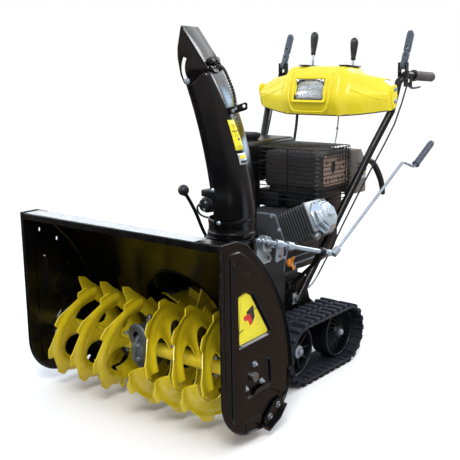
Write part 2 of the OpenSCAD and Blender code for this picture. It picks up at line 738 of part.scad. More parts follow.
// Drive axle with the two rear wheels and its chain wheel
module drive_axle() here() {
    color(zinc) {
        cyl_x(shaft_r, -hub_face - 0.1, hub_face + 0.1, rear_wheel_at[0], rear_wheel_at[1]);
        cyl_x(chain_r - gap, -32, -28, rear_wheel_at[0], rear_wheel_at[1]);
        both_sides() axle_nut(rear_wheel_at);
    }
    color(rubber) both_sides() track_wheel(rear_wheel_at);
}

module front_wheels() here() color(rubber) both_sides() track_wheel(front_wheel_at);

// Beams that carry the front wheels and tilt about the drive axle
module track_frames() here() color(black) both_sides() {
    difference() {
        union() {
            plate_x(track_in, 8) {
                translate(front_wheel_at) circle(r = 32);
                translate(rear_wheel_at) circle(r = 32);
                polygon([front_wheel_at + [0, 26], rear_wheel_at + [0, 26], rear_wheel_at - [0, 26],
                    front_wheel_at - [0, 26]]);
            }
            cyl_x(shaft_r, track_in, hub_face + 0.1, front_wheel_at[0], front_wheel_at[1]);
            axle_nut(front_wheel_at);
        }
        cyl_x(shaft_r + fit, track_in - 5, track_in + 12, rear_wheel_at[0], rear_wheel_at[1]);
    }
}

run = rear_wheel_at[0] - front_wheel_at[0];
band_mid = wheel_r + gap + band_t / 2;
lug_count = 32;
lug_pitch = (2 * run + 2 * PI * band_mid) / lug_count;
turn_len = PI * band_mid;

// Place along the band: [y, z, angle]
function band_at(s) =
    s < run ? [front_wheel_at[0] + s, front_wheel_at[1], 0]
    : s < run + turn_len ? [rear_wheel_at[0], rear_wheel_at[1], -(s - run) / turn_len * 180]
    : s < 2 * run + turn_len ? [rear_wheel_at[0] - (s - run - turn_len), rear_wheel_at[1], 180]
    : [front_wheel_at[0], front_wheel_at[1], 180 - (s - 2 * run - turn_len) / turn_len * 180];

module track_band() {
    plate_x(track_in + 12, track_w - 12) difference() {
        loop_2d(front_wheel_at, wheel_r, rear_wheel_at, wheel_r, gap + band_t);
        loop_2d(front_wheel_at, wheel_r, rear_wheel_at, wheel_r, gap);
    }
    for (k = [0 : lug_count - 1]) {
        p = band_at((k + 0.5) * lug_pitch);
        translate([0, p[0], p[1]]) rotate([p[2], 0, 0])
            translate([track_in + 12, -7, wheel_r + gap + band_t - 1])
                cube([track_w - 12, 14, lug_h + 1 - gap]);
    }
}
module track_left() here() color(rubber) mirror([1, 0, 0]) track_band();
module track_right() here() color(rubber) track_band();

lever_pin = [-156, 646, 330];
module height_lever() here() color(black) difference() {
    union() {
        bent_rod([lever_pin + [-10, 0, 0], [-180, 636, 372], [-210, 626, 430], [-214, 590, 504],
            [-214, 538, 578]], 6);
        translate([-214, 536, 580]) sphere(r = 19);
        cyl_x(16, -172, -159, lever_pin[1], lever_pin[2]);
    }
    cyl_x(7 + fit, -180, -100, lever_pin[1], lever_pin[2]);
}

// ---------- engine ----------

engine_y = [640, 850];
cyl_y_mid = 722;
case_face = 118;
// End of the oil filler's neck
filler_x = 128;
module along_cylinder() translate([0, cyl_y_mid, crank_z]) rotate([0, 90 - cyl_lean, 0]) children();

module crankcase() here() color(casting) {
    difference() {
        union() {
            plate_y(engine_y[0], engine_y[1] - engine_y[0]) polygon([[-105, 316], [116, 316], [132, 401],
                [82, 509], [-50, 509], [-105, 450]]);
            box([-118, 646, 304], [118, 734, 318]);
            cyl_x(15, 90, filler_x, 667, 352);
        }
        cyl_y(84, 0, engine_y[0] + 12, engine_y[1] - 12, crank_z);
        cyl_y(crank_r + fit, 0, engine_y[0] - 10, engine_y[1] + 10, crank_z);
        along_cylinder() cylinder(r = 39, h = 200);
        cyl_x(9 + fit, 95, 135, 667, 352);
    }
    // pin and bracket of the height lever
    cyl_x(7, -174, -104, lever_pin[1], lever_pin[2]);
}

module engine_cylinder() here() color(casting) along_cylinder() difference() {
    union() {
        translate([0, 0, case_face + gap]) cylinder(r = 50, h = 88);
        for (k = [0 : fin_count - 1]) translate([-58, -62, case_face + 10 + k * 9]) cube([116, 124, 3.5]);
        translate([-52, -56, case_face + 88]) cube([104, 112, 34]);
        translate([44, 20, case_face + 96]) rotate([0, 60, 0]) cylinder(r = 9, h = 34);
    }
    translate([0, 0, case_face - 5]) cylinder(r = 39, h = 92);
}

head_end = case_face + 122;
module rocker_cover() here() color(zinc) along_cylinder() {
    translate([0, 0, head_end + gap]) linear_extrude(8)
        polygon([for (a = [22.5 : 45 : 337.5]) [60 * cos(a), 60 * sin(a)]]);
    hull() {
        for (step = [[8, 58], [34, 46]]) translate([0, 0, head_end + step[0]]) linear_extrude(1)
            polygon([for (a = [22.5 : 45 : 337.5]) step[1] * [cos(a), sin(a)]]);
    }
    translate([0, 0, head_end + 35]) hex_bolt(10, 7);
}

blower_y = [852, 962];
blower_top = 538;
module blower_housing() here() color(black) difference() {
    union() {
        cyl_y(132, 0, blower_y[0], blower_y[1], crank_z);
        box([-90, blower_y[0], crank_z + 60], [110, blower_y[1], blower_top]);
    }
    cyl_y(128, 0, blower_y[0] + 3, blower_y[1] - 3, crank_z);
    cyl_y(crank_r + 6, 0, blower_y[0] - 5, blower_y[0] + 5, crank_z);
    cyl_y(90, 0, blower_y[1] - 10, blower_y[1] + 10, crank_z);
}

module recoil_cover() here() color(black) {
    difference() {
        union() {
            cyl_y(112, 0, blower_y[1] + gap, blower_y[1] + 30, crank_z);
            cyl_y(86, 0, blower_y[1] + 28, blower_y[1] + 62, crank_z);
        }
        cyl_y(82, 0, blower_y[1] - 5, blower_y[1] + 58, crank_z);
        for (a = [0 : 30 : 330]) translate([0, 0, crank_z]) rotate([0, a, 0])
            box([94, blower_y[1] - 4, -8], [106, blower_y[1] + 40, 8]);
    }
    // rope outlet to the side
    bent_rod([[60, 1018, 440], [118, 1047, 520], [186, 1048, 624]], 5);
    rod([177, 1048, 610], [188, 1049, 628], 8);
}

grip_route = [[196, 1053, 652], [203, 1098, 622], [205, 1134, 574], [202, 1160, 522]];
module recoil_grip() here() color(black) bent_rod(grip_route, 9.5);

starter_at = [-172, 524];
module starter_motor() here() color(casting) {
    cyl_y(28, starter_at[0], 600, 740, starter_at[1]);
    cyl_y(22, starter_at[0], 588, 601, starter_at[1]);
    cyl_y(34, starter_at[0], 739, 756, starter_at[1]);
    box([-150, 740, 452], [-106 + gap, 752, 540]);
}

module fuel_tank() here() color(black) difference() {
    union() {
        hull() for (x = [-178, -76]) for (y = [706, 962]) for (z = [612, 716])
            translate([x, y, z]) sphere(r = 18, $fn = 24);
        box([-200, 684, 662], [-54, 984, 666]);
        cyl_z(26, -127, 799, 728, 742);
        box([-96, 720, 503], [-58, 760, 600]);
        box([-88, 900, blower_top + gap], [-60, 940, 600]);
    }
    box([-186, 696, 606], [-68, 972, 722]);
    cyl_z(20, -127, 799, 715, 750);
}

module fuel_cap() here() color(black) {
    cyl_z(33, -127, 799, 742 + gap, 758);
    cyl_z(19.5, -127, 799, 726, 743);
}

muffler_at = [[-38, 752, 582], [186, 940, 706]];
module muffler() here() color(black) difference() {
    union() {
        hull() for (x = [-20, 168]) for (y = [770, 922]) for (z = [600, 688])
            translate([x, y, z]) sphere(r = 18, $fn = 24);
        box([30, 800, 509 + gap], [70, 840, 590]);
        box([-30, 852, blower_top + gap], [20, 860, 592]);
    }
    box([-30, 760, 590], [178, 932, 698]);
}

guard_lo = [-50, 740, 568];
guard_hi = [200, 955, 720];
module muffler_guard() here() color(black) {
    wires = floor((guard_hi[2] - guard_lo[2]) / guard_pitch);
    // wires round the front, the side and the back
    for (k = [0 : wires]) {
        z = guard_lo[2] + k * guard_pitch;
        for (y = [guard_lo[1], guard_hi[1]])
            box([guard_lo[0], y - 1.5, z - 1.5], [guard_hi[0], y + 1.5, z + 1.5]);
        box([guard_hi[0] - 1.5, guard_lo[1], z - 1.5], [guard_hi[0] + 1.5, guard_hi[1], z + 1.5]);
    }
    top = guard_lo[2] + wires * guard_pitch;
    for (k = [0 : 17]) {
        x = guard_lo[0] + k * guard_pitch;
        box([x, guard_lo[1], top - 1.5], [x + 3, guard_hi[1], top + 1.5]);
    }
    for (y = [guard_lo[1] - 1.5, guard_hi[1] - 3.5]) for (x = [guard_lo[0], 60, guard_hi[0] - 5])
        box([x, y, guard_lo[2] - 2], [x + 5, y + 5, top + 2]);
    box([guard_hi[0] - 6, 846, guard_lo[2] - 2], [guard_hi[0] - 1, 850, top + 2]);
    box([60, guard_hi[1] - 3.5, blower_top + gap], [90, guard_hi[1] + 1.5, guard_lo[2]]);
}

module carburettor_box() here() color(black) {
    difference() {
        plate_x(106, 94) polygon([[962, 548], [1038, 548], [1038, 650], [1004, 700], [962, 700]]);
        plate_x(109, 88) polygon([[965, 545], [1035, 545], [1035, 648], [1002, 697], [965, 697]]);
    }
    box([106, 958, blower_top + gap], [130, 962, 600]);
}

module oil_cap() here() color("#d8751f") {
    cyl_x(9, 112, filler_x + 2, 667, 352);
    cyl_x(15, filler_x + gap, filler_x + 10, 667, 352);
    box([filler_x + 9, 662, 330], [filler_x + 22, 672, 374]);
}

// ---------- handlebar and controls ----------

bar_low = [162, 664, 226];
bar_bend = [235, 1013, 704];
bar_knee = [265, 1090, 828];
bar_top = [grip_x, 1150, 925];
bar_back = [grip_x, 1196, 948];
bar_end = [grip_x, 1404, 936];
grip_start = 1262;

module handlebar() here() color(black) {
    both_sides() {
        bent_rod([bar_low, bar_bend, bar_knee, bar_top, bar_back, bar_end], bar_r);
        box([frame_x + gap, 640, 214], [156, 700, 256]);
        cyl_x(7, frame_x + gap, 160, 690, 236);
    }
    // cross tube behind the dash
    rod([-bar_knee[0], 1094, 836], [bar_knee[0], 1094, 836], 10);
}

module grips() here() color(plastic) both_sides() difference() {
    dir = (bar_end - bar_back) / norm(bar_end - bar_back);
    union() {
        rod(bar_back + 66 * dir, bar_end + 8 * dir, grip_r);
        rod(bar_back + 66 * dir, bar_back + 72 * dir, grip_r + 3);
    }
    rod(bar_back, bar_end + 0.05 * dir, bar_r + fit);
}

// Cross-section of the moulded dash in (y, z): front foot, front brow, top, rear foot
module dash_slice(x, nose, top, low) plate_x(x - 0.5, 1)
    polygon([[nose + 22, low], [nose, low + 60], [nose + 26, top - 26], [nose + 58, top],
        [1129, top - 8], [1137, low + 78], [1106, low + 20]]);
dash_wide = 282;
dash_slices = [[130, 990, 962, 812], [210, 1016, 944, 820], [dash_wide - 1, 1046, 930, 832]];
module dash_at(k, g) {
    d = dash_slices[k];
    dash_slice(d[0] - g, d[1] + g, d[2] - g, d[3] - 3 * g);
}

speed_pin = [-60, 1084, 940];
chute_pin = [100, 1098, 940];
module dash() here() color(yellow) difference() {
    union() {
        both_sides() {
            hull() for (k = [0, 1]) dash_at(k, 0);
            hull() for (k = [1, 2]) dash_at(k, 0);
        }
        hull() both_sides() {
            dash_slice(112, 968, 984, 811);
            dash_slice(134, 992, 964, 812);
        }
    }
    hull() both_sides() for (k = [0 : 2]) translate([0, k == 2 ? 0 : 3, 0]) dash_at(k, 3);
    // slots for the levers, the lamp's opening, notches for the tubes
    for (p = [speed_pin, chute_pin]) box([p[0] - 14, p[1] - 56, 930], [p[0] + 14, p[1] + 30, 1010]);
    box([-62, 940, 862], [62, 1040, 942]);
    both_sides() box([dash_wide - 46, 1052, 800], [dash_wide + 5, 1140, 960]);
}

module headlight() here() color("#dfe3e6") difference() {
    box([-60, 972, 864], [60, 1016, 940]);
    box([-54, 960, 870], [54, 984, 934]);
}

// Lever with a round pin, a flat stalk and a tapered knob
module stalk(pin, knob, top) {
    cyl_x(14, pin[0] - 5, pin[0] + 5, pin[1], pin[2]);
    rod(pin, knob, 4.5);
    hull() {
        translate(knob) sphere(r = 8, $fn = 32);
        translate(top) sphere(r = 14.5, $fn = 32);
    }
}
module speed_lever() here() color(black) difference() {
    stalk(speed_pin, [-60, 1092, 1030], [-60, 1100, 1090]);
    cyl_x(6 + fit, speed_pin[0] - 20, speed_pin[0] + 20, speed_pin[1], speed_pin[2]);
}
module deflector_lever() here() color(black) difference() {
    stalk(chute_pin, [100, 1106, 1010], [100, 1112, 1066]);
    cyl_x(6 + fit, chute_pin[0] - 20, chute_pin[0] + 20, chute_pin[1], chute_pin[2]);
}

clutch_pin = [grip_x, 1184, 982];
module clutch_lever() color(plastic) difference() {
    union() {
        cyl_x(14, grip_x - 9, grip_x + 9, clutch_pin[1], clutch_pin[2]);
        hull() {
            translate(clutch_pin + [0, 6, 20]) cube([22, 12, 6], center = true);
            translate([grip_x, 1224, 1070]) cube([24, 13, 6], center = true);
        }
        hull() {
            translate([grip_x, 1224, 1070]) cube([24, 13, 6], center = true);
            translate([grip_x, 1243, 1100]) rotate([0, 90, 0])
                cylinder(r = 10, h = 22, center = true, $fn = 24);
        }
    }
    cyl_x(5 + fit, grip_x - 30, grip_x + 30, clutch_pin[1], clutch_pin[2]);
}
module clutch_lever_left() here() mirror([1, 0, 0]) clutch_lever();
module clutch_lever_right() here() clutch_lever();

trigger_pin = [grip_x, 1222, 914];
module steering_trigger() color(black) difference() {
    union() {
        cyl_x(8, grip_x - 7, grip_x + 7, trigger_pin[1], trigger_pin[2]);
        bent_rod([trigger_pin + [0, 4, -3], [grip_x, 1262, 900], [grip_x, 1318, 902]], 5.5);
    }
    cyl_x(4 + fit, grip_x - 20, grip_x + 20, trigger_pin[1], trigger_pin[2]);
}
module steering_trigger_left() here() mirror([1, 0, 0]) steering_trigger();
module steering_trigger_right() here() steering_trigger();

// Brackets on the tubes that carry the clutch levers and the triggers
module lever_brackets() here() color(black) {
    both_sides() tube_brackets();
    // forks inside the dash that stand on the cross tube and carry the two lever pins
    for (p = [speed_pin, chute_pin]) {
        for (dx = [-11, 8]) box([p[0] + dx, p[1] - 11, 846 + gap], [p[0] + dx + 3, p[1] + 11, p[2] + 12]);
        cyl_x(6, p[0] - 10, p[0] + 10, p[1], p[2]);
        box([p[0] - 11, p[1] - 11, 846 + gap], [p[0] + 11, p[1] + 11, 852]);
    }
}
module tube_brackets() difference() {
    union() {
        box([grip_x - 16, 1172, 940], [grip_x - 11, 1192, 992]);
        box([grip_x + 11, 1172, 940], [grip_x + 16, 1192, 992]);
        cyl_x(5, grip_x - 16, grip_x + 16, clutch_pin[1], clutch_pin[2]);
        box([grip_x - 13, 1214, 906], [grip_x - 9, 1230, 952]);
        box([grip_x + 9, 1214, 906], [grip_x + 13, 1230, 952]);
        cyl_x(4, grip_x - 13, grip_x + 13, trigger_pin[1], trigger_pin[2]);
    }
    rod(bar_top, bar_back, bar_r + fit);
    rod(bar_back, bar_end, bar_r + fit);
}

// Clutch cables from the lever brackets down to the frame
cable_route = [[278, 1186, 962], [280, 1170, 910], [276, 1142, 850], [268, 1108, 780], [254, 1064, 712],
    [240, 1010, 640], [226, 948, 560], [212, 880, 470], [198, 806, 370], [184, 746, 290]];
module cables() here() color(black) both_sides() cable(cable_route, 3);

housing();
impeller_drum();
scraper_bar();
skid_shoes();
auger_bearings();
gearbox_case();
auger_shaft();
auger_hubs();
auger_blades_left();
auger_blades_right();
shear_bolts();
impeller();
impeller_shaft();
chute();
deflector();
worm_bracket();
worm_shaft();
crank_bracket();
crank_rod();
crank_grip();
belt_cover();
engine_pulley();
auger_belt();
drive_belt();
drive_pulley();
auger_idler();
drive_idler();
tractor_frame();
transmission();
track_frames();
track_left();
track_right();
front_wheels();
drive_axle();
height_lever();
crankcase();
engine_cylinder();
rocker_cover();
blower_housing();
recoil_cover();
recoil_grip();
starter_motor();
fuel_tank();
fuel_cap();
muffler();
muffler_guard();
carburettor_box();
oil_cap();
handlebar();
dash();
headlight();
speed_lever();
deflector_lever();
grips();
clutch_lever_left();
clutch_lever_right();
steering_trigger_left();
steering_trigger_right();
lever_brackets();
cables();
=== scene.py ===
"""Looks of the tracked two stage snowblower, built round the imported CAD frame.

Lengths in this file are millimetres in the CAD's own reading: x across the machine, y back from the
mouth of the housing, z up from the ground. at() turns them into the row frame's metres.
"""

import json
import math

import bmesh
import bpy
from mathutils import Matrix, Vector
from mathutils.geometry import tessellate_polygon

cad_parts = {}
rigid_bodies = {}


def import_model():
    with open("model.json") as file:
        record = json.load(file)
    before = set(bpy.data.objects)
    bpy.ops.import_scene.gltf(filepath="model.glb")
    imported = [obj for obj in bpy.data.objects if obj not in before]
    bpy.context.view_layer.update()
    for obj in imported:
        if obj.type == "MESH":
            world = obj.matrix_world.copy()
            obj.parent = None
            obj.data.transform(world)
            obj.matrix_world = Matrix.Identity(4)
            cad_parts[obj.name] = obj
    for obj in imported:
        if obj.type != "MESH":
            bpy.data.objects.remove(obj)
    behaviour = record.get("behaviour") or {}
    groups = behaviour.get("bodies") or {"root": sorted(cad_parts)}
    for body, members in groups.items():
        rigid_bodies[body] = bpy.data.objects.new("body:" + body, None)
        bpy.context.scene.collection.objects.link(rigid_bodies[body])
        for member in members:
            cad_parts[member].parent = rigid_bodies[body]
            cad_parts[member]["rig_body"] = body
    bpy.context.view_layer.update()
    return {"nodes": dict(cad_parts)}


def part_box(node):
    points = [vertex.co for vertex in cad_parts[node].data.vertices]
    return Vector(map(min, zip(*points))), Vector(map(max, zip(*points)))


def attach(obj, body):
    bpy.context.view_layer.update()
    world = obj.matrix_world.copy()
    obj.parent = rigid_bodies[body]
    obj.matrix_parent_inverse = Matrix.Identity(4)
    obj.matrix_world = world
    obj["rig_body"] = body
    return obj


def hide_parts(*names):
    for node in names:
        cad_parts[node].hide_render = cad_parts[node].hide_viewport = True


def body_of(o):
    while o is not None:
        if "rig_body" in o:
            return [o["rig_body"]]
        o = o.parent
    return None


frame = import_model()

MM = 0.001
MOUTH_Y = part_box("housing")[0].y
SIDE_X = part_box("housing")[1].x / MM - 5.0
LIP = 5.0


def at(x, y, z):
    """A point given in millimetres from the housing's mouth, in the row frame's metres."""
    return Vector((x * MM, MOUTH_Y + y * MM, z * MM))


def lerp(a, b, t):
    return a + (b - a) * t


def smooth(t):
    t = min(max(t, 0.0), 1.0)
    return t * t * (3 - 2 * t)


# ---------------------------------------------------------------- camera, light and floor

CAMERA_AZ = math.radians(39.04)
CAMERA_PITCH = math.radians(11.958)
CAMERA_ROLL = math.radians(-0.764)
CAMERA_AT = (1612.4, -1469.7, 1013.8)
LENS_MM = 63.452


def make_camera():
    data = bpy.data.cameras.new("camera")
    data.lens = LENS_MM
    data.sensor_width = 36.0
    data.clip_end = 60.0
    cam = bpy.data.objects.new("camera", data)
    bpy.context.scene.collection.objects.link(cam)
    back = Vector((math.sin(CAMERA_AZ) * math.cos(CAMERA_PITCH),
                   -math.cos(CAMERA_AZ) * math.cos(CAMERA_PITCH), math.sin(CAMERA_PITCH)))
    right = Vector((0, 0, 1)).cross(back).normalized()
    up = back.cross(right)
    cos_r, sin_r = math.cos(CAMERA_ROLL), math.sin(CAMERA_ROLL)
    right, up = right * cos_r + up * sin_r, up * cos_r - right * sin_r
    turn = Matrix((right, up, back)).transposed().to_4x4()
    cam.matrix_world = Matrix.Translation(at(*CAMERA_AT)) @ turn
    bpy.context.scene.camera = cam


def area_light(name, where, aim, size, power, colour=(1, 1, 1)):
    data = bpy.data.lights.new(name, "AREA")
    data.shape = "RECTANGLE"
    data.size, data.size_y = size
    data.energy = power
    data.color = colour
    lamp = bpy.data.objects.new(name, data)
    bpy.context.scene.collection.objects.link(lamp)
    lamp.location = where
    lamp.rotation_euler = (Vector(aim) - Vector(where)).to_track_quat("-Z", "Y").to_euler()


# the level way from the camera to the machine
AWAY = (-0.62, 0.78, 0.0)


def make_world():
    """Studio surroundings: white behind the machine, dimmer on the near side, pale blue overhead."""
    world = bpy.data.worlds.new("studio")
    world.use_nodes = True
    tree = world.node_tree
    out = tree.nodes["Background"]
    out.inputs["Strength"].default_value = 1.0
    direction = tree.nodes.new("ShaderNodeTexCoord").outputs["Generated"]
    split = tree.nodes.new("ShaderNodeSeparateXYZ")
    tree.links.new(direction, split.inputs["Vector"])

    def ramp(fac, stops):
        node = tree.nodes.new("ShaderNodeValToRGB")
        node.color_ramp.interpolation = "EASE"
        for i, (pos, colour) in enumerate(stops):
            stop = node.color_ramp.elements[i] if i < 2 else node.color_ramp.elements.new(pos)
            stop.position, stop.color = pos, (*colour, 1)
        tree.links.new(fac, node.inputs["Fac"])
        return node.outputs["Color"]

    near_far = tree.nodes.new("ShaderNodeVectorMath")
    near_far.operation = "DOT_PRODUCT"
    tree.links.new(direction, near_far.inputs[0])
    near_far.inputs[1].default_value = [axis * 0.5 for axis in AWAY]
    shift = tree.nodes.new("ShaderNodeMath")
    shift.inputs[1].default_value = 0.5
    tree.links.new(near_far.outputs["Value"], shift.inputs[0])
    around = ramp(shift.outputs["Value"], [(0.62, (0.42, 0.39, 0.37)), (0.92, (1.0, 1.0, 1.0))])
    mix = tree.nodes.new("ShaderNodeMix")
    mix.data_type = "RGBA"
    tree.links.new(ramp(split.outputs["Z"], [(0.15, (0, 0, 0)), (0.8, (1, 1, 1))]), mix.inputs["Factor"])
    tree.links.new(around, mix.inputs["A"])
    mix.inputs["B"].default_value = (0.86, 0.94, 1.08, 1)
    # below the floor's level it is nearly dark, which is what the black paint mirrors
    lower = tree.nodes.new("ShaderNodeMix")
    lower.data_type = "RGBA"
    shifted = tree.nodes.new("ShaderNodeMath")
    shifted.inputs[1].default_value = 0.5
    tree.links.new(split.outputs["Z"], shifted.inputs[0])
    tree.links.new(ramp(shifted.outputs["Value"], [(0.38, (0, 0, 0)), (0.46, (1, 1, 1))]),
                   lower.inputs["Factor"])
    azimuth = tree.nodes.new("ShaderNodeMath")
    azimuth.operation = "ARCTAN2"
    tree.links.new(split.outputs["Y"], azimuth.inputs[0])
    tree.links.new(split.outputs["X"], azimuth.inputs[1])
    turned = tree.nodes.new("ShaderNodeMath")
    turned.operation = "MULTIPLY_ADD"
    turned.inputs[1].default_value = 1 / math.tau
    turned.inputs[2].default_value = 0.5
    tree.links.new(azimuth.outputs["Value"], turned.inputs[0])
    tree.links.new(ramp(turned.outputs["Value"], [
        (0.0, (0.10, 0.08, 0.075)), (1.0, (0.10, 0.08, 0.075)), (0.25, (0.014, 0.017, 0.03)),
        (0.49, (0.02, 0.025, 0.045)), (0.53, (0.72, 0.86, 1.05)), (0.56, (0.72, 0.86, 1.05)),
        (0.60, (0.25, 0.18, 0.145)), (0.76, (0.40, 0.27, 0.20))]), lower.inputs["A"])
    tree.links.new(mix.outputs["Result"], lower.inputs["B"])
    tree.links.new(lower.outputs["Result"], out.inputs["Color"])
    bpy.context.scene.world = world


def make_stage():
    floor_mesh = bpy.data.meshes.new("floor")
    half = 60.0
    floor_mesh.from_pydata([(-half, -half, 0), (half, -half, 0), (half, half, 0), (-half, half, 0)], [],
                           [(0, 1, 2, 3)])
    floor = bpy.data.objects.new("floor", floor_mesh)
    bpy.context.scene.collection.objects.link(floor)
    floor_mesh.materials.append(floor_material())
    floor.visible_glossy = False
    make_world()
    area_light("key", (2.2, -3.0, 3.8), (0, 0, 0.4), (1.6, 1.6), 150, (1.0, 0.98, 0.95))
    area_light("fill", (-3.6, -1.2, 2.6), (0, 0, 0.5), (2.4, 2.4), 60, (0.86, 0.92, 1.0))
    area_light("sky", (0.1, 4.2, 1.35), (0, 0, 0.8), (1.8, 1.1), 22, (0.42, 0.70, 1.0))
    area_light("rim", (1.2, 3.4, 3.0), (0, 0, 0.6), (2.6, 1.6), 90)
    bpy.context.scene.view_settings.view_transform = "Standard"


# ---------------------------------------------------------------- materials


class Nodes:
    """A material's node tree, with short calls for the textures that the finishes share."""

    def __init__(self, name):
        self.material = bpy.data.materials.new(name)
        self.material.use_nodes = True
        self.tree = self.material.node_tree
        self.shader = self.tree.nodes["Principled BSDF"]
        self.coords = self.tree.nodes.new("ShaderNodeTexCoord").outputs["Object"]

    def set(self, **sockets):
        for name, value in sockets.items():
            self.shader.inputs[name.replace("_", " ")].default_value = value

    def link(self, a, b):
        self.tree.links.new(a, b)

    def noise(self, scale, detail, rough=0.55, stretch=(1, 1, 1)):
        mapping = self.tree.nodes.new("ShaderNodeMapping")
        mapping.inputs["Scale"].default_value = stretch
        self.link(self.coords, mapping.inputs["Vector"])
        node = self.tree.nodes.new("ShaderNodeTexNoise")
        node.inputs["Scale"].default_value = scale
        node.inputs["Detail"].default_value = detail
        node.inputs["Roughness"].default_value = rough
        self.link(mapping.outputs["Vector"], node.inputs["Vector"])
        return node.outputs["Fac"]

    def cells(self, scale):
        node = self.tree.nodes.new("ShaderNodeTexVoronoi")
        node.inputs["Scale"].default_value = scale
        self.link(self.coords, node.inputs["Vector"])
        return node.outputs["Distance"]

    def ramp(self, fac, stops):
        """stops: (position, colour or number) pairs."""
        node = self.tree.nodes.new("ShaderNodeValToRGB")
        ends = node.color_ramp.elements
        for i, (pos, value) in enumerate(stops):
            colour = (value, value, value, 1) if isinstance(value, (int, float)) else (*value, 1)
            stop = ends[i] if i < 2 else ends.new(pos)
            stop.position = pos
            stop.color = colour
        self.link(fac, node.inputs["Fac"])
        return node.outputs["Color"]

    def mix(self, fac, a, b):
        """Colour a where fac is 0 and b where it is 1. a and b are sockets or colours."""
        node = self.tree.nodes.new("ShaderNodeMix")
        node.data_type = "RGBA"
        self.link(fac, node.inputs["Factor"])
        for socket, value in ((node.inputs["A"], a), (node.inputs["B"], b)):
            if isinstance(value, tuple):
                socket.default_value = (*value, 1)
            else:
                self.link(value, socket)
        return node.outputs["Result"]

    def edges(self, low, high):
        """0 on flats and 1 on convex edges."""
        geo = self.tree.nodes.new("ShaderNodeNewGeometry")
        return self.ramp(geo.outputs["Pointiness"], [(low, 0.0), (high, 1.0)])

    def times(self, a, b):
        node = self.tree.nodes.new("ShaderNodeMath")
        node.operation = "MULTIPLY"
        self.link(a, node.inputs[0])
        if isinstance(b, (int, float)):
            node.inputs[1].default_value = b
        else:
            self.link(b, node.inputs[1])
        return node.outputs["Value"]

    def bump(self, height, strength, distance):
        node = self.tree.nodes.new("ShaderNodeBump")
        node.inputs["Strength"].default_value = strength
        node.inputs["Distance"].default_value = distance
        self.link(height, node.inputs["Height"])
        self.link(node.outputs["Normal"], self.shader.inputs["Normal"])

    def colour(self, socket):
        self.link(socket, self.shader.inputs["Base Color"])

    def rough(self, socket):
        self.link(socket, self.shader.inputs["Roughness"])


def paint(name, colour, shade, rough, worn, coat, chips, specular=0.42):
    """Sprayed paint on steel: faint orange peel, uneven gloss, dust in patches, edges rubbed bare."""
    n = Nodes(name)
    n.set(Coat_Weight=coat, Coat_Roughness=0.05, Specular_IOR_Level=specular)
    patches = n.ramp(n.noise(7.0, 6.0), [(0.35, 0.0), (0.75, 1.0)])
    base = n.mix(patches, colour, shade)
    wear = n.times(n.edges(0.52, 0.60), n.ramp(n.noise(90.0, 5.0), [(0.5, 0.0), (0.62, chips)]))
    n.colour(n.mix(wear, base, worn))
    n.rough(n.ramp(n.noise(22.0, 7.0), [(0.3, rough), (0.8, rough + 0.1)]))
    n.bump(n.noise(420.0, 2.0), 0.035, 0.0004)
    return n.material


def plastic(name, colour, shade, rough, grain=1400.0, grain_depth=0.12):
    """Moulded plastic with a fine eroded grain and faint handling marks."""
    n = Nodes(name)
    n.set(Specular_IOR_Level=0.45)
    base = n.mix(n.ramp(n.noise(12.0, 6.0), [(0.35, 0.0), (0.8, 1.0)]), colour, shade)
    scuffs = n.ramp(n.noise(60.0, 8.0, 0.7, (1, 1, 6)), [(0.62, 0.0), (0.8, 0.35)])
    n.colour(n.mix(scuffs, base, tuple(min(1.0, c * 1.5 + 0.03) for c in colour)))
    n.rough(n.ramp(n.noise(35.0, 5.0), [(0.3, rough - 0.06), (0.8, rough + 0.12)]))
    n.bump(n.cells(grain), grain_depth, 0.0003)
    return n.material


def metal(name, colour, shade, rough, brush, scale=120.0, depth=0.05, metallic=1.0):
    """Plated or bare metal with brushing along one way and dulled patches."""
    n = Nodes(name)
    n.set(Metallic=metallic)
    patches = n.ramp(n.noise(18.0, 6.0), [(0.35, 0.0), (0.75, 1.0)])
    n.colour(n.mix(patches, colour, shade))
    n.rough(n.ramp(n.noise(scale, 6.0, 0.6, brush), [(0.3, rough), (0.75, rough + 0.2)]))
    n.bump(n.noise(scale * 4, 3.0, 0.6, brush), depth, 0.0003)
    return n.material


def casting(name, colour, shade, rough, metallic):
    """Sand casting: coarse grain, oily dark patches and brighter rubbed edges."""
    n = Nodes(name)
    n.set(Metallic=metallic)
    grime = n.ramp(n.noise(14.0, 8.0, 0.65), [(0.38, 0.0), (0.66, 1.0)])
    base = n.mix(grime, colour, shade)
    n.colour(n.mix(n.edges(0.51, 0.58), base, tuple(min(1.0, c * 1.7 + 0.05) for c in colour)))
    n.rough(n.ramp(n.noise(45.0, 6.0), [(0.3, rough), (0.75, rough + 0.22)]))
    n.bump(n.noise(620.0, 5.0, 0.7), 0.35, 0.0006)
    return n.material


def rubber_material(name, colour, dust, dust_amount):
    """Moulded rubber: matt, faint bloom in patches, paler where it scrubs."""
    n = Nodes(name)
    n.set(Specular_IOR_Level=0.35)
    bloom = n.ramp(n.noise(16.0, 8.0, 0.65), [(0.4, 0.0), (0.75, dust_amount)])
    base = n.mix(bloom, colour, dust)
    n.colour(n.mix(n.times(n.edges(0.52, 0.6), 0.5), base, dust))
    n.rough(n.ramp(n.noise(50.0, 6.0), [(0.3, 0.5), (0.8, 0.78)]))
    n.bump(n.noise(900.0, 4.0, 0.7), 0.3, 0.0004)
    return n.material


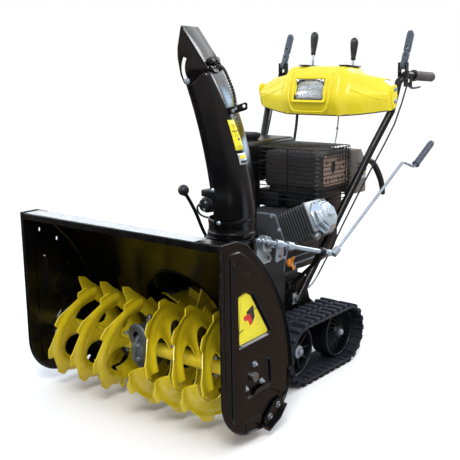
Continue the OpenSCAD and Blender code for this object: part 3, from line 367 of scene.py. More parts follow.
def foil(name, colour, shade, rough):
    """Reflective strip: bright, with fine crossing facets and water marks."""
    n = Nodes(name)
    n.set(Metallic=0.55)
    marks = n.ramp(n.noise(26.0, 8.0, 0.7, (1, 3, 1)), [(0.42, 0.0), (0.62, 1.0)])
    n.colour(n.mix(marks, colour, shade))
    n.rough(n.ramp(n.noise(40.0, 5.0), [(0.3, rough), (0.8, rough + 0.2)]))
    n.bump(n.cells(700.0), 0.25, 0.0003)
    return n.material


def floor_material():
    """Pale studio floor that brightens into the white surroundings with the distance."""
    n = Nodes("floor")
    far = n.tree.nodes.new("ShaderNodeVectorMath")
    far.operation = "LENGTH"
    n.link(n.coords, far.inputs[0])
    away = n.ramp(n.times(far.outputs["Value"], 0.1), [(0.14, 0.0), (0.34, 1.0)])
    n.colour(n.mix(away, (0.90, 0.885, 0.868), (0.0, 0.0, 0.0)))
    n.link(away, n.shader.inputs["Emission Color"])
    n.set(Emission_Strength=1.0, Specular_IOR_Level=0.2)
    n.rough(n.ramp(n.noise(3.0, 4.0), [(0.3, 0.75), (0.8, 0.9)]))
    return n.material


def lamp_glass():
    n = Nodes("lamp_glass")
    n.set(Transmission_Weight=0.85, IOR=1.45, Alpha=1.0)
    n.colour(n.mix(n.ramp(n.noise(30.0, 3.0), [(0.3, 0.0), (0.8, 1.0)]), (0.93, 0.95, 0.96), (0.85, 0.88,
                                                                                              0.9)))
    n.rough(n.ramp(n.noise(80.0, 3.0), [(0.3, 0.04), (0.8, 0.12)]))
    wave = n.tree.nodes.new("ShaderNodeTexWave")
    wave.inputs["Scale"].default_value = 60.0
    n.link(n.coords, wave.inputs["Vector"])
    n.bump(wave.outputs["Fac"], 0.5, 0.001)
    return n.material


M = {
    "black": paint("black_paint", (0.0016, 0.0016, 0.002), (0.0034, 0.0029, 0.0027), 0.13,
                   (0.05, 0.048, 0.045), 0.0, 0.2, 0.5),
    "frame_black": paint("frame_paint", (0.003, 0.003, 0.0035), (0.008, 0.0075, 0.007), 0.26,
                         (0.07, 0.065, 0.06), 0.0, 0.3, 0.3),
    "yellow": paint("yellow_paint", (0.62, 0.49, 0.012), (0.52, 0.39, 0.008), 0.24,
                    (0.3, 0.27, 0.2), 0.45, 0.3),
    "label": paint("label_yellow", (0.78, 0.70, 0.02), (0.70, 0.60, 0.02), 0.3, (0.4, 0.36, 0.2), 0.3, 0.1),
    "ink": paint("label_ink", (0.015, 0.015, 0.015), (0.03, 0.03, 0.03), 0.35, (0.1, 0.1, 0.1), 0.2, 0.1),
    "red_ink": paint("label_red", (0.62, 0.025, 0.02), (0.5, 0.03, 0.02), 0.35, (0.4, 0.2, 0.2), 0.2, 0.1),
    "dash_yellow": plastic("yellow_plastic", (0.8, 0.68, 0.028), (0.74, 0.61, 0.02), 0.3, 1900.0, 0.05),
    "black_plastic": plastic("black_plastic", (0.006, 0.0065, 0.008), (0.014, 0.015, 0.017), 0.38),
    "blue_plastic": plastic("blue_grey_plastic", (0.045, 0.062, 0.088), (0.075, 0.09, 0.115), 0.4, 1200.0,
                            0.2),
    "orange": plastic("orange_plastic", (0.62, 0.22, 0.02), (0.5, 0.16, 0.015), 0.34, 1500.0, 0.08),
    "knob": plastic("knob_plastic", (0.016, 0.016, 0.017), (0.03, 0.03, 0.032), 0.36, 900.0, 0.1),
    "wheel": plastic("wheel_plastic", (0.004, 0.005, 0.008), (0.011, 0.013, 0.018), 0.36, 800.0, 0.14),
    "taupe": plastic("air_box_plastic", (0.12, 0.105, 0.095), (0.18, 0.165, 0.15), 0.42, 1300.0, 0.12),
    "grip": rubber_material("grip_rubber", (0.055, 0.048, 0.046), (0.13, 0.12, 0.115), 0.5),
    "rubber": rubber_material("track_rubber", (0.0035, 0.005, 0.009), (0.022, 0.028, 0.042), 0.3),
    "belt": rubber_material("belt_rubber", (0.015, 0.015, 0.015), (0.06, 0.055, 0.05), 0.4),
    "sheath": rubber_material("cable_sheath", (0.012, 0.012, 0.013), (0.05, 0.05, 0.05), 0.3),
    "zinc": metal("zinc_plate", (0.50, 0.57, 0.64), (0.33, 0.37, 0.41), 0.26, (1, 6, 1), metallic=0.72),
    "chrome": metal("chrome", (0.66, 0.76, 0.82), (0.52, 0.62, 0.68), 0.16, (1, 1, 1), 60.0, 0.004, 0.85),
    "steel": metal("bare_steel", (0.42, 0.43, 0.44), (0.24, 0.23, 0.22), 0.34, (1, 1, 5), 90.0, 0.12),
    "reflector": metal("reflector", (0.86, 0.88, 0.9), (0.7, 0.74, 0.78), 0.1, (1, 1, 4), 40.0, 0.3),
    "casting": casting("gearbox_casting", (0.13, 0.155, 0.19), (0.05, 0.06, 0.075), 0.36, 0.7),
    "engine": casting("engine_casting", (0.014, 0.016, 0.019), (0.005, 0.0055, 0.0065), 0.36, 0.3),
    "alloy": casting("alloy_casting", (0.30, 0.32, 0.34), (0.15, 0.16, 0.17), 0.34, 0.75),
    "soot": casting("muffler_steel", (0.022, 0.021, 0.022), (0.045, 0.036, 0.032), 0.5, 0.5),
    "rust": casting("muffler_cover", (0.17, 0.115, 0.085), (0.06, 0.045, 0.038), 0.46, 0.3),
    "lug_blue": casting("case_flange", (0.16, 0.19, 0.225), (0.07, 0.08, 0.10), 0.38, 0.6),
    "foil": foil("reflective_strip", (0.62, 0.67, 0.7), (0.86, 0.9, 0.92), 0.22),
    "silver_label": foil("silver_label", (0.55, 0.60, 0.62), (0.80, 0.84, 0.86), 0.28),
    "glass": lamp_glass(),
}


# ---------------------------------------------------------------- making pieces

ROW = Matrix.Translation((0, MOUTH_Y, 0)) @ Matrix.Scale(MM, 4)


def shade(mesh, angle):
    mesh.shade_smooth()
    mesh.set_sharp_from_angle(angle=math.radians(angle))


def piece(name, bm, finish, body="root", nodes=(), bevel=0.0, segments=2, sharp=34, in_metres=False,
          flat_faces=False, outward=None):
    """Turns a bmesh into a finished piece.

    It gets rounded edges, its material and its body, and the CAD nodes that it stands for are hidden.
    """
    bmesh.ops.remove_doubles(bm, verts=bm.verts, dist=2e-6 if in_metres else 0.002)
    bmesh.ops.recalc_face_normals(bm, faces=bm.faces)
    if outward and sum(f.calc_area() * f.normal.dot(Vector(outward)) for f in bm.faces) < 0:
        bmesh.ops.reverse_faces(bm, faces=bm.faces)
    if bevel:
        corner = math.radians(30)
        edges = [e for e in bm.edges if len(e.link_faces) == 2 and e.calc_face_angle(0) > corner]
        bmesh.ops.bevel(bm, geom=edges, offset=bevel, segments=segments, profile=0.5, affect="EDGES",
                        clamp_overlap=True)
    if not in_metres:
        bm.transform(ROW)
    mesh = bpy.data.meshes.new(name)
    bm.to_mesh(mesh)
    bm.free()
    shade(mesh, sharp)
    mesh.materials.append(M[finish])
    obj = bpy.data.objects.new(name, mesh)
    bpy.context.scene.collection.objects.link(obj)
    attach(obj, body)
    if nodes:
        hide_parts(*nodes)
    if flat_faces:
        even = obj.modifiers.new("even", "WEIGHTED_NORMAL")
        even.keep_sharp = True
    return obj


def rides(node):
    """The moving body that a CAD node belongs to."""
    body = body_of(frame["nodes"][node])
    return body if isinstance(body, str) else body[0]


def thicken(obj, thickness, offset):
    """Gives a sheet its thickness in millimetres."""
    mod = obj.modifiers.new("thickness", "SOLIDIFY")
    mod.thickness = thickness * MM
    mod.offset = offset
    mod.use_even_offset = True
    return obj


def soften(node, finish, width=0.8, name=None, keep=None):
    """A CAD node's shape with its corners rounded. keep picks the faces that stay."""
    source = frame["nodes"][node]
    bm = bmesh.new()
    bm.from_mesh(source.data)
    bmesh.ops.remove_doubles(bm, verts=bm.verts, dist=4e-6)
    if keep:
        bmesh.ops.delete(bm, geom=[f for f in bm.faces if not keep(f)], context="FACES")
    bmesh.ops.dissolve_limit(bm, angle_limit=math.radians(0.5), verts=bm.verts, edges=bm.edges)
    return piece(name or node + "_skin", bm, finish, rides(node), (node,), width * MM, in_metres=True,
                 flat_faces=True)


def arc(c, r, a0, a1, n):
    return [(c[0] + r * math.cos(math.radians(lerp(a0, a1, i / n))),
             c[1] + r * math.sin(math.radians(lerp(a0, a1, i / n)))) for i in range(n + 1)]


def polar(r, degrees):
    return (r * math.cos(math.radians(degrees)), r * math.sin(math.radians(degrees)))


def rect(u0, v0, u1, v1):
    return [(u0, v0), (u1, v0), (u1, v1), (u0, v1)]


def circle(c, r, n):
    return arc(c, r, 0, 360 * (n - 1) / n, n - 1)


def rounded(points, radius, n=5):
    """An outline with its corners rounded. radius is one number, or one for each corner."""
    count = len(points)
    radii = radius if isinstance(radius, (list, tuple)) else [radius] * count
    out = []
    for i, p in enumerate(points):
        here = Vector(p)
        before, after = Vector(points[i - 1]) - here, Vector(points[(i + 1) % count]) - here
        half = before.angle(after) / 2
        reach = min(radii[i] / math.tan(half), before.length * 0.48, after.length * 0.48)
        a, b = here + before.normalized() * reach, here + after.normalized() * reach
        for k in range(n + 1):
            t = k / n
            out.append(tuple(a * (1 - t) ** 2 + here * 2 * t * (1 - t) + b * t ** 2))
    return out


def area_of(points):
    return sum(a[0] * b[1] - b[0] * a[1] for a, b in zip(points, points[1:] + points[:1])) / 2


def inset(points, distance):
    """An outline moved inwards by distance."""
    side = 1 if area_of(points) > 0 else -1
    out = []
    count = len(points)
    for i, p in enumerate(points):
        a = Vector(p) - Vector(points[i - 1])
        b = Vector(points[(i + 1) % count]) - Vector(p)
        if a.length < 1e-6:
            a = b
        if b.length < 1e-6:
            b = a
        na = Vector((-a.y, a.x)).normalized() * side
        nb = Vector((-b.y, b.x)).normalized() * side
        n = (na + nb).normalized()
        grow = distance / max(0.5, n.dot(na))
        out.append((p[0] + n.x * grow, p[1] + n.y * grow))
    return out


PLACE = {
    "x": lambda u, v, w: (w, u, v),
    "y": lambda u, v, w: (u, w, v),
    "z": lambda u, v, w: (u, v, w),
}


def cap(bm, loops):
    """Faces that fill the first loop of vertices, less the others."""
    if len(loops) == 1:
        bm.faces.new(loops[0])
        return
    flat = [v for loop in loops for v in loop]
    for tri in tessellate_polygon([[v.co for v in loop] for loop in loops]):
        bm.faces.new([flat[i] for i in tri])


def bridge(bm, low, high, closed=True):
    count = len(low)
    for i in range(count if closed else count - 1):
        k = (i + 1) % count
        bm.faces.new((low[i], low[k], high[k], high[i]))


def skin(bm, rows, closed=True):
    """Faces between each row of vertices and the next."""
    for low, high in zip(rows, rows[1:]):
        bridge(bm, low, high, closed)


def ring(bm, points, axis, depth):
    return [bm.verts.new(PLACE[axis](u, v, depth)) for u, v in points]


def prism(bm, outline, axis, a, b, holes=()):
    """A plate with the given outline and holes, square to an axis, from depth a to b."""
    rows = [[ring(bm, loop, axis, depth) for loop in (outline, *holes)] for depth in (a, b)]
    for row in rows:
        cap(bm, row)
    for low, high in zip(*rows):
        bridge(bm, low, high)


def lathe(bm, profile, origin, direction, sides):
    """Turns (radius, height) points about a line through origin."""
    spin = Vector((0, 0, 1)).rotation_difference(Vector(direction)).to_matrix()
    rows = []
    for radius, height in profile:
        if radius < 1e-4:
            rows.append([bm.verts.new(Vector(origin) + spin @ Vector((0, 0, height)))])
            continue
        rows.append([bm.verts.new(Vector(origin) + spin @ Vector((
            radius * math.cos(math.tau * k / sides), radius * math.sin(math.tau * k / sides), height)))
            for k in range(sides)])
    for low, high in zip(rows, rows[1:]):
        for k in range(sides):
            m = (k + 1) % sides
            if len(low) == 1 and len(high) > 1:
                bm.faces.new((low[0], high[k], high[m]))
            elif len(high) == 1 and len(low) > 1:
                bm.faces.new((low[k], low[m], high[0]))
            elif len(low) > 1:
                bm.faces.new((low[k], low[m], high[m], high[k]))


def bent(points, per):
    """A smooth curve through the points."""
    p = [Vector(q) for q in points]
    p = [p[0] * 2 - p[1], *p, p[-1] * 2 - p[-2]]
    out = []
    for i in range(1, len(p) - 2):
        for k in range(per):
            t = k / per
            out.append(0.5 * (2 * p[i] + (p[i + 1] - p[i - 1]) * t
                              + (2 * p[i - 1] - 5 * p[i] + 4 * p[i + 1] - p[i + 2]) * t * t
                              + (3 * p[i] - p[i - 1] - 3 * p[i + 1] + p[i + 2]) * t ** 3))
    out.append(p[-2])
    return out


def elbowed(points, radius, n=7):
    """Straight lengths with round elbows."""
    p = [Vector(q) for q in points]
    out = [p[0]]
    for a, here, b in zip(p, p[1:], p[2:]):
        into, away = (a - here), (b - here)
        reach = min(radius, into.length * 0.45, away.length * 0.45)
        s, e = here + into.normalized() * reach, here + away.normalized() * reach
        for k in range(n + 1):
            t = k / n
            out.append(s * (1 - t) ** 2 + here * 2 * t * (1 - t) + e * t * t)
    out.append(p[-1])
    return out


def tube(bm, path, radius, sides, flat=1.0):
    """A tube along a path. radius is a number or a function of the share of the way along."""
    path = [Vector(p) for p in path]
    size = radius if callable(radius) else (lambda t: radius)
    tangent = (path[1] - path[0]).normalized()
    side = tangent.orthogonal().normalized()
    rows = []
    last = len(path) - 1
    for i, p in enumerate(path):
        t = (path[min(i + 1, last)] - path[max(i - 1, 0)]).normalized()
        side = (side - t * side.dot(t)).normalized()
        other = t.cross(side)
        r = size(i / last)
        rows.append([bm.verts.new(p + side * r * math.cos(math.tau * k / sides)
                                  + other * r * flat * math.sin(math.tau * k / sides))
                                  for k in range(sides)])
    skin(bm, rows)
    for row in (rows[0], rows[-1]):
        bm.faces.new(row)


def block(bm, lo, hi, r):
    """A box with rounded edges."""
    part = bmesh.new()
    bmesh.ops.create_cube(part, size=1.0)
    lo, hi = Vector(lo), Vector(hi)
    part.transform(Matrix.Translation((lo + hi) / 2) @ Matrix.Diagonal((*(hi - lo), 1)))
    if r:
        bmesh.ops.bevel(part, geom=part.edges[:], offset=r, segments=2, profile=0.5, affect="EDGES",
                        clamp_overlap=True)
    stamp(bm, part)


def stamp(bm, part, matrix=None):
    """Adds a bmesh to another one and frees it."""
    if matrix:
        part.transform(matrix)
    mesh = bpy.data.meshes.new("stamp")
    part.to_mesh(mesh)
    part.free()
    bm.from_mesh(mesh)
    bpy.data.meshes.remove(mesh)


def hex_bolt(bm, where, direction, r, h, washer=True, stud=0.0):
    """A washer, a chamfered hexagon head and, if stud is given, the end of a thread."""
    base = 0.0
    if washer:
        lathe(bm, [(0, 0), (r * 1.45, 0), (r * 1.5, 0.6), (r * 1.42, 1.6), (0, 1.6)], where, direction, 28)
        base = 1.5
    lathe(bm, [(0, base), (r, base), (r * 1.04, base + 0.6), (r * 1.04, base + h * 0.8),
               (r * 0.88, base + h),
               (0, base + h)], where, direction, 6)
    if stud:
        rows = [(0, base + h - 0.2)]
        turns = max(2, int(stud / 1.5))
        for k in range(turns):
            z = base + h + stud * k / turns
            rows += [(r * 0.5, z), (r * 0.56, z + stud / turns * 0.5)]
        rows += [(r * 0.42, base + h + stud), (0, base + h + stud)]
        lathe(bm, rows, where, direction, 16)


# ---------------------------------------------------------------- housing

TOP_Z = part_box("housing")[1].z / MM
SHEET = 3.0
AUGER_YZ = (138.0, 187.0)
BACK_C, BACK_R = (-196.0, 148.0), 501.0
LOW_BACK_C, LOW_FRONT_C, LOW_R = (171.0, 160.0), (126.0, 163.0), 126.0
BEARING_BOLTS = [(143, 221), (173, 164), (103, 164)]
CUTTER_HOLES = [(62, 506), (127, 466)]


def side_outline(d):
    """The side plate's outline in (y, z), d inside its edge."""
    return [(d, TOP_Z - d), (60, TOP_Z - d)] + arc(BACK_C, BACK_R - d, 54.6, 2, 30) \
        + arc(LOW_BACK_C, LOW_R + 1 - d, 0, -90, 16) + arc(LOW_FRONT_C, LOW_R - d, -90, -180, 16)


def raised_outline():
    """The raised field of the plate. It stops short of the front and the top, and ends below in a step."""
    back = arc(BACK_C, BACK_R - 17, 51.2, -3, 20)
    step = bent([(283, 104, 0), (262, 94, 0), (238, 111, 0), (210, 126, 0), (171, 129, 0), (116, 122, 0),
                 (88, 107, 0),
                 (72, 90, 0), (60, 80, 0)], 4)
    return [(36, 530), (39, 538), (46, 542), (76, 542), (86, 538)] + back + [(p.x, p.y) for p in step] \
        + [(46, 84), (38, 110)]


PANEL = rounded([(68, 424), (86, 430), (112, 432), (134, 420), (212, 300), (204, 286), (70, 280)],
                [12, 8, 10, 14, 12, 10, 6])
BEARING_DISH = rounded([(94, 150), (100, 208), (128, 240), (172, 244), (208, 222), (213, 150), (204, 137),
                        (108, 131)],
                       [10, 30, 30, 30, 26, 12, 10, 10])
FOOT_PAD = rounded([(92, 74), (168, 74), (176, 50), (168, 38), (98, 38)], 7)


# how far the raised field stands out, and how deep the panel's and the bearing's dishes are pressed into it
FIELD_RISE, PANEL_DEPTH, DISH_DEPTH, PAD_RISE = 3.6, 8.0, 7.0, 2.6


def pressed(bm, rim, depth, slope, x_of):
    """A pressed area: its wall curves from the rim to a floor that is depth further in."""
    steps = 5
    last = rim
    for k in range(1, steps + 1):
        t = k / steps
        loop = inset([(v.co.y, v.co.z) for v in rim], slope * t)
        now = [bm.verts.new((x_of(depth * smooth(t)), u, v)) for u, v in loop]
        bridge(bm, last, now)
        last = now
    cap(bm, [last])


def side_plate(side, name):
    def x_of(inward):
        return side * (SIDE_X - inward)

    bm = bmesh.new()
    lip = [(0.9, -LIP), (0.0, -LIP + 0.8), (0.0, -2.6), (0.7, -0.9), (2.4, 0.0), (5.0, 0.0)]
    rows = [[bm.verts.new((x_of(depth), u, v)) for u, v in side_outline(d)] for d, depth in lip]
    skin(bm, rows)
    rim = [bm.verts.new((x_of(0), u, v)) for u, v in raised_outline()]
    pad = [bm.verts.new((x_of(0), u, v)) for u, v in FOOT_PAD]
    cap(bm, [rows[-1], rim, pad])
    pressed(bm, pad, -PAD_RISE, 5.0, x_of)
    last = rim
    for k in range(1, 6):
        t = k / 5
        loop = inset(raised_outline(), 7 * t)
        now = [bm.verts.new((x_of(-FIELD_RISE * smooth(t)), u, v)) for u, v in loop]
        bridge(bm, last, now)
        last = now
    field = x_of(-FIELD_RISE)
    rims = [[bm.verts.new((field, u, v)) for u, v in shape] for shape in (PANEL, BEARING_DISH)]
    slots = []
    for y, z in CUTTER_HOLES:
        hole = rounded(rect(y - 3, z - 6, y + 3, z + 6), 2.8)
        slots.append([bm.verts.new((field, u, v)) for u, v in hole])
    cap(bm, [last, *rims, *slots])

    def from_field(inward):
        return x_of(inward - FIELD_RISE)

    pressed(bm, rims[0], PANEL_DEPTH, 9.0, from_field)
    pressed(bm, rims[1], DISH_DEPTH, 10.0, from_field)
    plate = thicken(piece(name, bm, "black", sharp=42, outward=(side, 0, 0)), SHEET * 0.8, -1.0)
    even = plate.modifiers.new("even", "WEIGHTED_NORMAL")
    even.keep_sharp = True
    return plate


def side_trim(side, tag):
    """The curved bead, the plain yellow panel with its generic marks, and the bearing's nuts."""
    def x_of(out):
        return side * (SIDE_X + out)

    bm = bmesh.new()
    tube(bm, bent([(x_of(0.3), y, z) for y, z in [(20, 545), (20, 400), (21, 250), (26, 170)]], 8), 1.2, 8)
    piece("plate_bead_" + tag, bm, "black")

    shape = inset(PANEL, 8.6)
    bm = bmesh.new()
    prism(bm, shape, "x", x_of(-4.5), x_of(-3.7))
    piece("side_panel_" + tag, bm, "label", bevel=0.15)
    bm = bmesh.new()
    prism(bm, rounded([(110, 372), (140, 386), (146, 352), (132, 330), (128, 356), (116, 362)], 4), "x",
          x_of(-3.8), x_of(-3.5))
    for a, b in [((146, 372), (162, 378)), ((78, 322), (98, 328))]:
        prism(bm, [(a[0], a[1] - 1.4), (b[0], b[1] - 1.4), (b[0], b[1] + 1.4), (a[0], a[1] + 1.4)], "x",
              x_of(-3.8), x_of(-3.5))
    piece("side_panel_mark_" + tag, bm, "ink")
    bm = bmesh.new()
    prism(bm, rounded([(98, 362), (124, 366), (136, 342), (126, 330), (118, 348), (102, 350)], 3), "x",
          x_of(-3.6), x_of(-3.3))
    piece("side_panel_accent_" + tag, bm, "red_ink")

    bm = bmesh.new()
    for y, z in BEARING_BOLTS:
        hex_bolt(bm, (x_of(-3.2), y, z), (side, 0, 0), 5.6, 5.0, stud=4.0)
    piece("bearing_nuts_" + tag, bm, "zinc", bevel=0.25)
    bm = bmesh.new()
    lathe(bm, [(12.9, -2), (22, -2), (24, 0), (24, 4), (36, 5), (38, 6.5), (38, 9), (12.9, 9)],
          (side * (SIDE_X - 17), *AUGER_YZ), (side, 0, 0), 40)
    for y, z in BEARING_BOLTS:
        hex_bolt(bm, (side * (SIDE_X - 7), y, z), (-side, 0, 0), 6.5, 5.0)
    piece("bearing_flange_" + tag, bm, "zinc", bevel=0.4)


def make_housing():
    inner_face = SIDE_X - SHEET
    limit = (inner_face + 0.1) * MM
    plane = (inner_face - 0.1) * MM

    def in_wrap(face):
        xs = [v.co.x for v in face.verts]
        return max(map(abs, xs)) < limit and min(xs) < plane and max(xs) > -plane

    wrap = soften("housing", "black", 0.6, "housing_wrap", in_wrap)
    for side, tag in ((1, "right"), (-1, "left")):
        side_plate(side, "side_plate_" + tag)
        side_trim(side, tag)
    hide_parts("auger_bearings")

    # hem along the front edge of the top sheet
    bm = bmesh.new()
    section = rounded([(0.2, TOP_Z), (10, TOP_Z + 0.2), (10, TOP_Z - 5), (4.5, TOP_Z - 8), (4.5, TOP_Z - 19),
                       (0.2, TOP_Z - 19)], [2.2, 0.2, 2, 2, 1.5, 1.5])
    prism(bm, section, "x", -SIDE_X + 1, SIDE_X - 1)
    for x in (-300, -150, 0, 150, 300):
        lathe(bm, [(0, 0), (5, 0), (5, 1.2), (3.4, 2.4), (0, 2.8)], (x, 4.6, TOP_Z - 12), (0, 1, 0), 16)
    piece("front_hem", bm, "black", bevel=0.3)

    bm = bmesh.new()
    strip = rounded(rect(-374, 5, 300, 57), 4)
    prism(bm, strip, "z", TOP_Z + 0.1, TOP_Z + 0.7)
    piece("top_strip", bm, "foil", bevel=0.15)

    # turned seam where the drum meets the back of the housing
    bm = bmesh.new()
    for r, y in ((157.5, 300), (162, 296)):
        path = []
        for k in range(73):
            a = math.radians(5 * k)
            x, z = r * math.cos(a), 235 + r * math.sin(a)
            depth = BACK_C[0] + math.sqrt(max((BACK_R - SHEET - 1.5) ** 2 - (z - BACK_C[1]) ** 2, 0))
            if z < 160:
                depth = LOW_BACK_C[0] + math.sqrt(max((LOW_R - SHEET) ** 2 - (z - LOW_BACK_C[1]) ** 2, 0))
            path.append((x, depth, z))
        tube(bm, path, 1.0, 8)
    piece("drum_seam", bm, "black")

    soften("impeller_drum", "black", 0.8)
    soften("scraper_bar", "black", 0.8)
    soften("skid_shoes", "black", 1.2)
    bm = bmesh.new()
    for side in (-1, 1):
        for y, z in ((196, 56), (232, 78)):
            hex_bolt(bm, (side * (SIDE_X + 9.5), y, z), (side, 0, 0), 6, 3.2)
    piece("shoe_nuts", bm, "zinc", bevel=0.25)


# ---------------------------------------------------------------- auger and impeller

RING_IN, ROOT_R, TIP_R, HUB_R = 96.0, 140.0, 157.0, 21.0
REACH = 46.0
TOOTH_DEG = 43.0
LEAN, LEAN_PHASE = 55.0, 27.0
STATIONS = {-1: (79.0, 15.0), 1: (96.0, 75.0)}
# each half ring: where it starts and ends, and the place of its first hook, in degrees from its spoke
HALVES = {-1: [(-98.0, 77.0, 48.0), (-98.0, 77.0, 29.0)], 1: [(-85.0, 94.0, 48.5), (-85.0, 94.0, 67.0)]}


def tooth_radius(psi, hook):
    """Outer edge of a blade whose teeth end in hooks at hook, hook - TOOTH_DEG and so on.

    Behind each hook there is a steep drop, a long hollow, a short slope and a flat tip up to the next one.
    """
    t = ((hook - psi) / TOOTH_DEG) % 1.0
    if t < 0.06:
        return lerp(TIP_R, ROOT_R, smooth(t / 0.06))
    if t < 0.50:
        return ROOT_R + 4.0 * ((t - 0.06) / 0.44) ** 2
    if t < 0.72:
        return lerp(ROOT_R + 4.0, TIP_R - 1.0, ((t - 0.50) / 0.22) ** 1.3)
    return TIP_R - 1.0 + (t - 0.72) / 0.28


SPOKE = [(RING_IN, REACH), (91.0, 36.0), (86.0, 29.0), (78.0, 23.5), (70.0, 20.5), (58.0, 19.0),
         (45.0, 20.5),
         (34.0, 24.0), (26.0, 28.0), (21.4, 33.0)]


def spoke_half(r):
    for (r0, w0), (r1, w1) in zip(SPOKE, SPOKE[1:]):
        if r >= r1:
            return lerp(w1, w0, (r - r1) / (r0 - r1))
    return SPOKE[-1][1]


# the pressed bead round the ring: the radius of its crest, its half width and its height
BEAD_R, BEAD_HALF, BEAD_H = 121.0, 21.0, 8.5


def crown(t):
    """1 in the middle and 0 at t = 1, as a pressed bead's section."""
    return (1 - min(abs(t), 1.0) ** 2.2) ** 1.2


def pressed_height(r, psi):
    """How far the blade is pressed out of its own plane."""
    band = crown((r - BEAD_R) / BEAD_HALF) if r > 96 else 0.0
    spoke = 0.0
    if r < 126:
        spoke = crown(psi / max(spoke_half(max(r, 21.4)), 12.0)) * (1 - smooth((r - 104) / 22.0))
    return BEAD_H * max(band, spoke * 0.95)


def blade_point(side, station, centre_deg, r, psi):
    phi = math.radians(psi + centre_deg)
    x = side * (station - r / TIP_R * LEAN * math.sin(math.radians(psi + LEAN_PHASE)) - pressed_height(r,
                                                                                                       psi))
    return (x, AUGER_YZ[0] - r * math.cos(phi), AUGER_YZ[1] + r * math.sin(phi))


def add_blade(bm, side, station, centre_deg, half):
    start, end, hook = half
    columns = {start, end, -REACH, REACH} | {float(c) for c in range(int(start) + 1, int(end), 2)}
    for k in range(-2, 5):
        tip = hook - TOOTH_DEG * k
        near = {tip + d for d in (0.02, -1.2, -2.6, -4.3, 1.5, 12.0)}
        columns = {c for c in columns if all(abs(c - n) > 0.7 or abs(c) == REACH for n in near)}
        columns |= {c for c in near if start < c < end and abs(abs(c) - REACH) > 0.5}
    columns = sorted(columns)
    spoke_shares = [c / REACH for c in columns if abs(c) <= REACH]
    shares = [0.0, 0.07, 0.16, 0.28, 0.42, 0.56, 0.70, 0.82, 0.91, 0.96, 1.0]
    grid = []
    for psi in columns:
        top = tooth_radius(psi, hook)
        grid.append([bm.verts.new(blade_point(side, station, centre_deg, lerp(RING_IN, top, s), psi))
                     for s in shares])
    for a, b in zip(grid, grid[1:]):
        bridge(bm, a, b, closed=False)
    last = [g[0] for g, c in zip(grid, columns) if abs(c) <= REACH]
    for r in (93.5, 91, 88.5, 86, 80, 73, 66, 58, 51, 45, 39, 33, 27.5, 23, 21.2):
        half_width = spoke_half(r)
        now = [bm.verts.new(blade_point(side, station, centre_deg, r, half_width * s)) for s in spoke_shares]
        bridge(bm, last, now, closed=False)
        last = now


def make_auger():
    for side, node in ((-1, "auger_blades_left"), (1, "auger_blades_right")):
        station, centre = STATIONS[side]
        bm = bmesh.new()
        for k in range(3):
            for half_turn, half in zip((0, 180), HALVES[side]):
                add_blade(bm, side, station + 100 * k, centre + half_turn, half)
        blades = piece(node + "_pressed", bm, "yellow", "auger", (node,), sharp=60)
        thicken(blades, 3.6, 0.0)
        edge = blades.modifiers.new("edge", "BEVEL")
        edge.width = 0.9 * MM
        edge.segments = 2
        edge.limit_method = "ANGLE"
        edge.angle_limit = math.radians(50)

    bm = bmesh.new()
    hub_start, hub_end = 38.0, SIDE_X - 17
    for side in (-1, 1):
        steps = [(12.7, hub_start), (HUB_R - 1, hub_start), (HUB_R, hub_start + 1), (HUB_R, hub_start + 8)]
        for k in range(3):
            x = STATIONS[side][0] + 100 * k
            steps += [(HUB_R, x - 30), (HUB_R, x + 30)]
        steps += [(HUB_R, hub_end - 1), (HUB_R - 1, hub_end), (12.7, hub_end)]
        lathe(bm, [(r, side * h) for r, h in steps], (0, *AUGER_YZ), (1, 0, 0), 40)
        # weld fillets where the spokes stand on the hub
        for k in range(3):
            station, centre = STATIONS[side]
            for half_turn in (0, 180):
                path = [blade_point(side, station + 100 * k, centre + half_turn, HUB_R + 0.8, psi)
                        for psi in range(-30, 31, 5)]
                tube(bm, path, lambda t: 2.6 + 0.5 * math.sin(t * 47), 8)
    piece("hub_tubes", bm, "yellow", "auger", ("auger_hubs",))
    soften("auger_shaft", "steel", 0.6)
    bm = bmesh.new()
    for side in (-1, 1):
        for x in (95, 255):
            y, z = AUGER_YZ
            hex_bolt(bm, (side * x, y, z + HUB_R + 0.3), (0, 0, 1), 7, 5.5)
            hex_bolt(bm, (side * x, y, z - HUB_R - 0.3), (0, 0, -1), 7, 6, stud=5)
    piece("shear_pins", bm, "zinc", "auger", ("shear_bolts",), bevel=0.3)


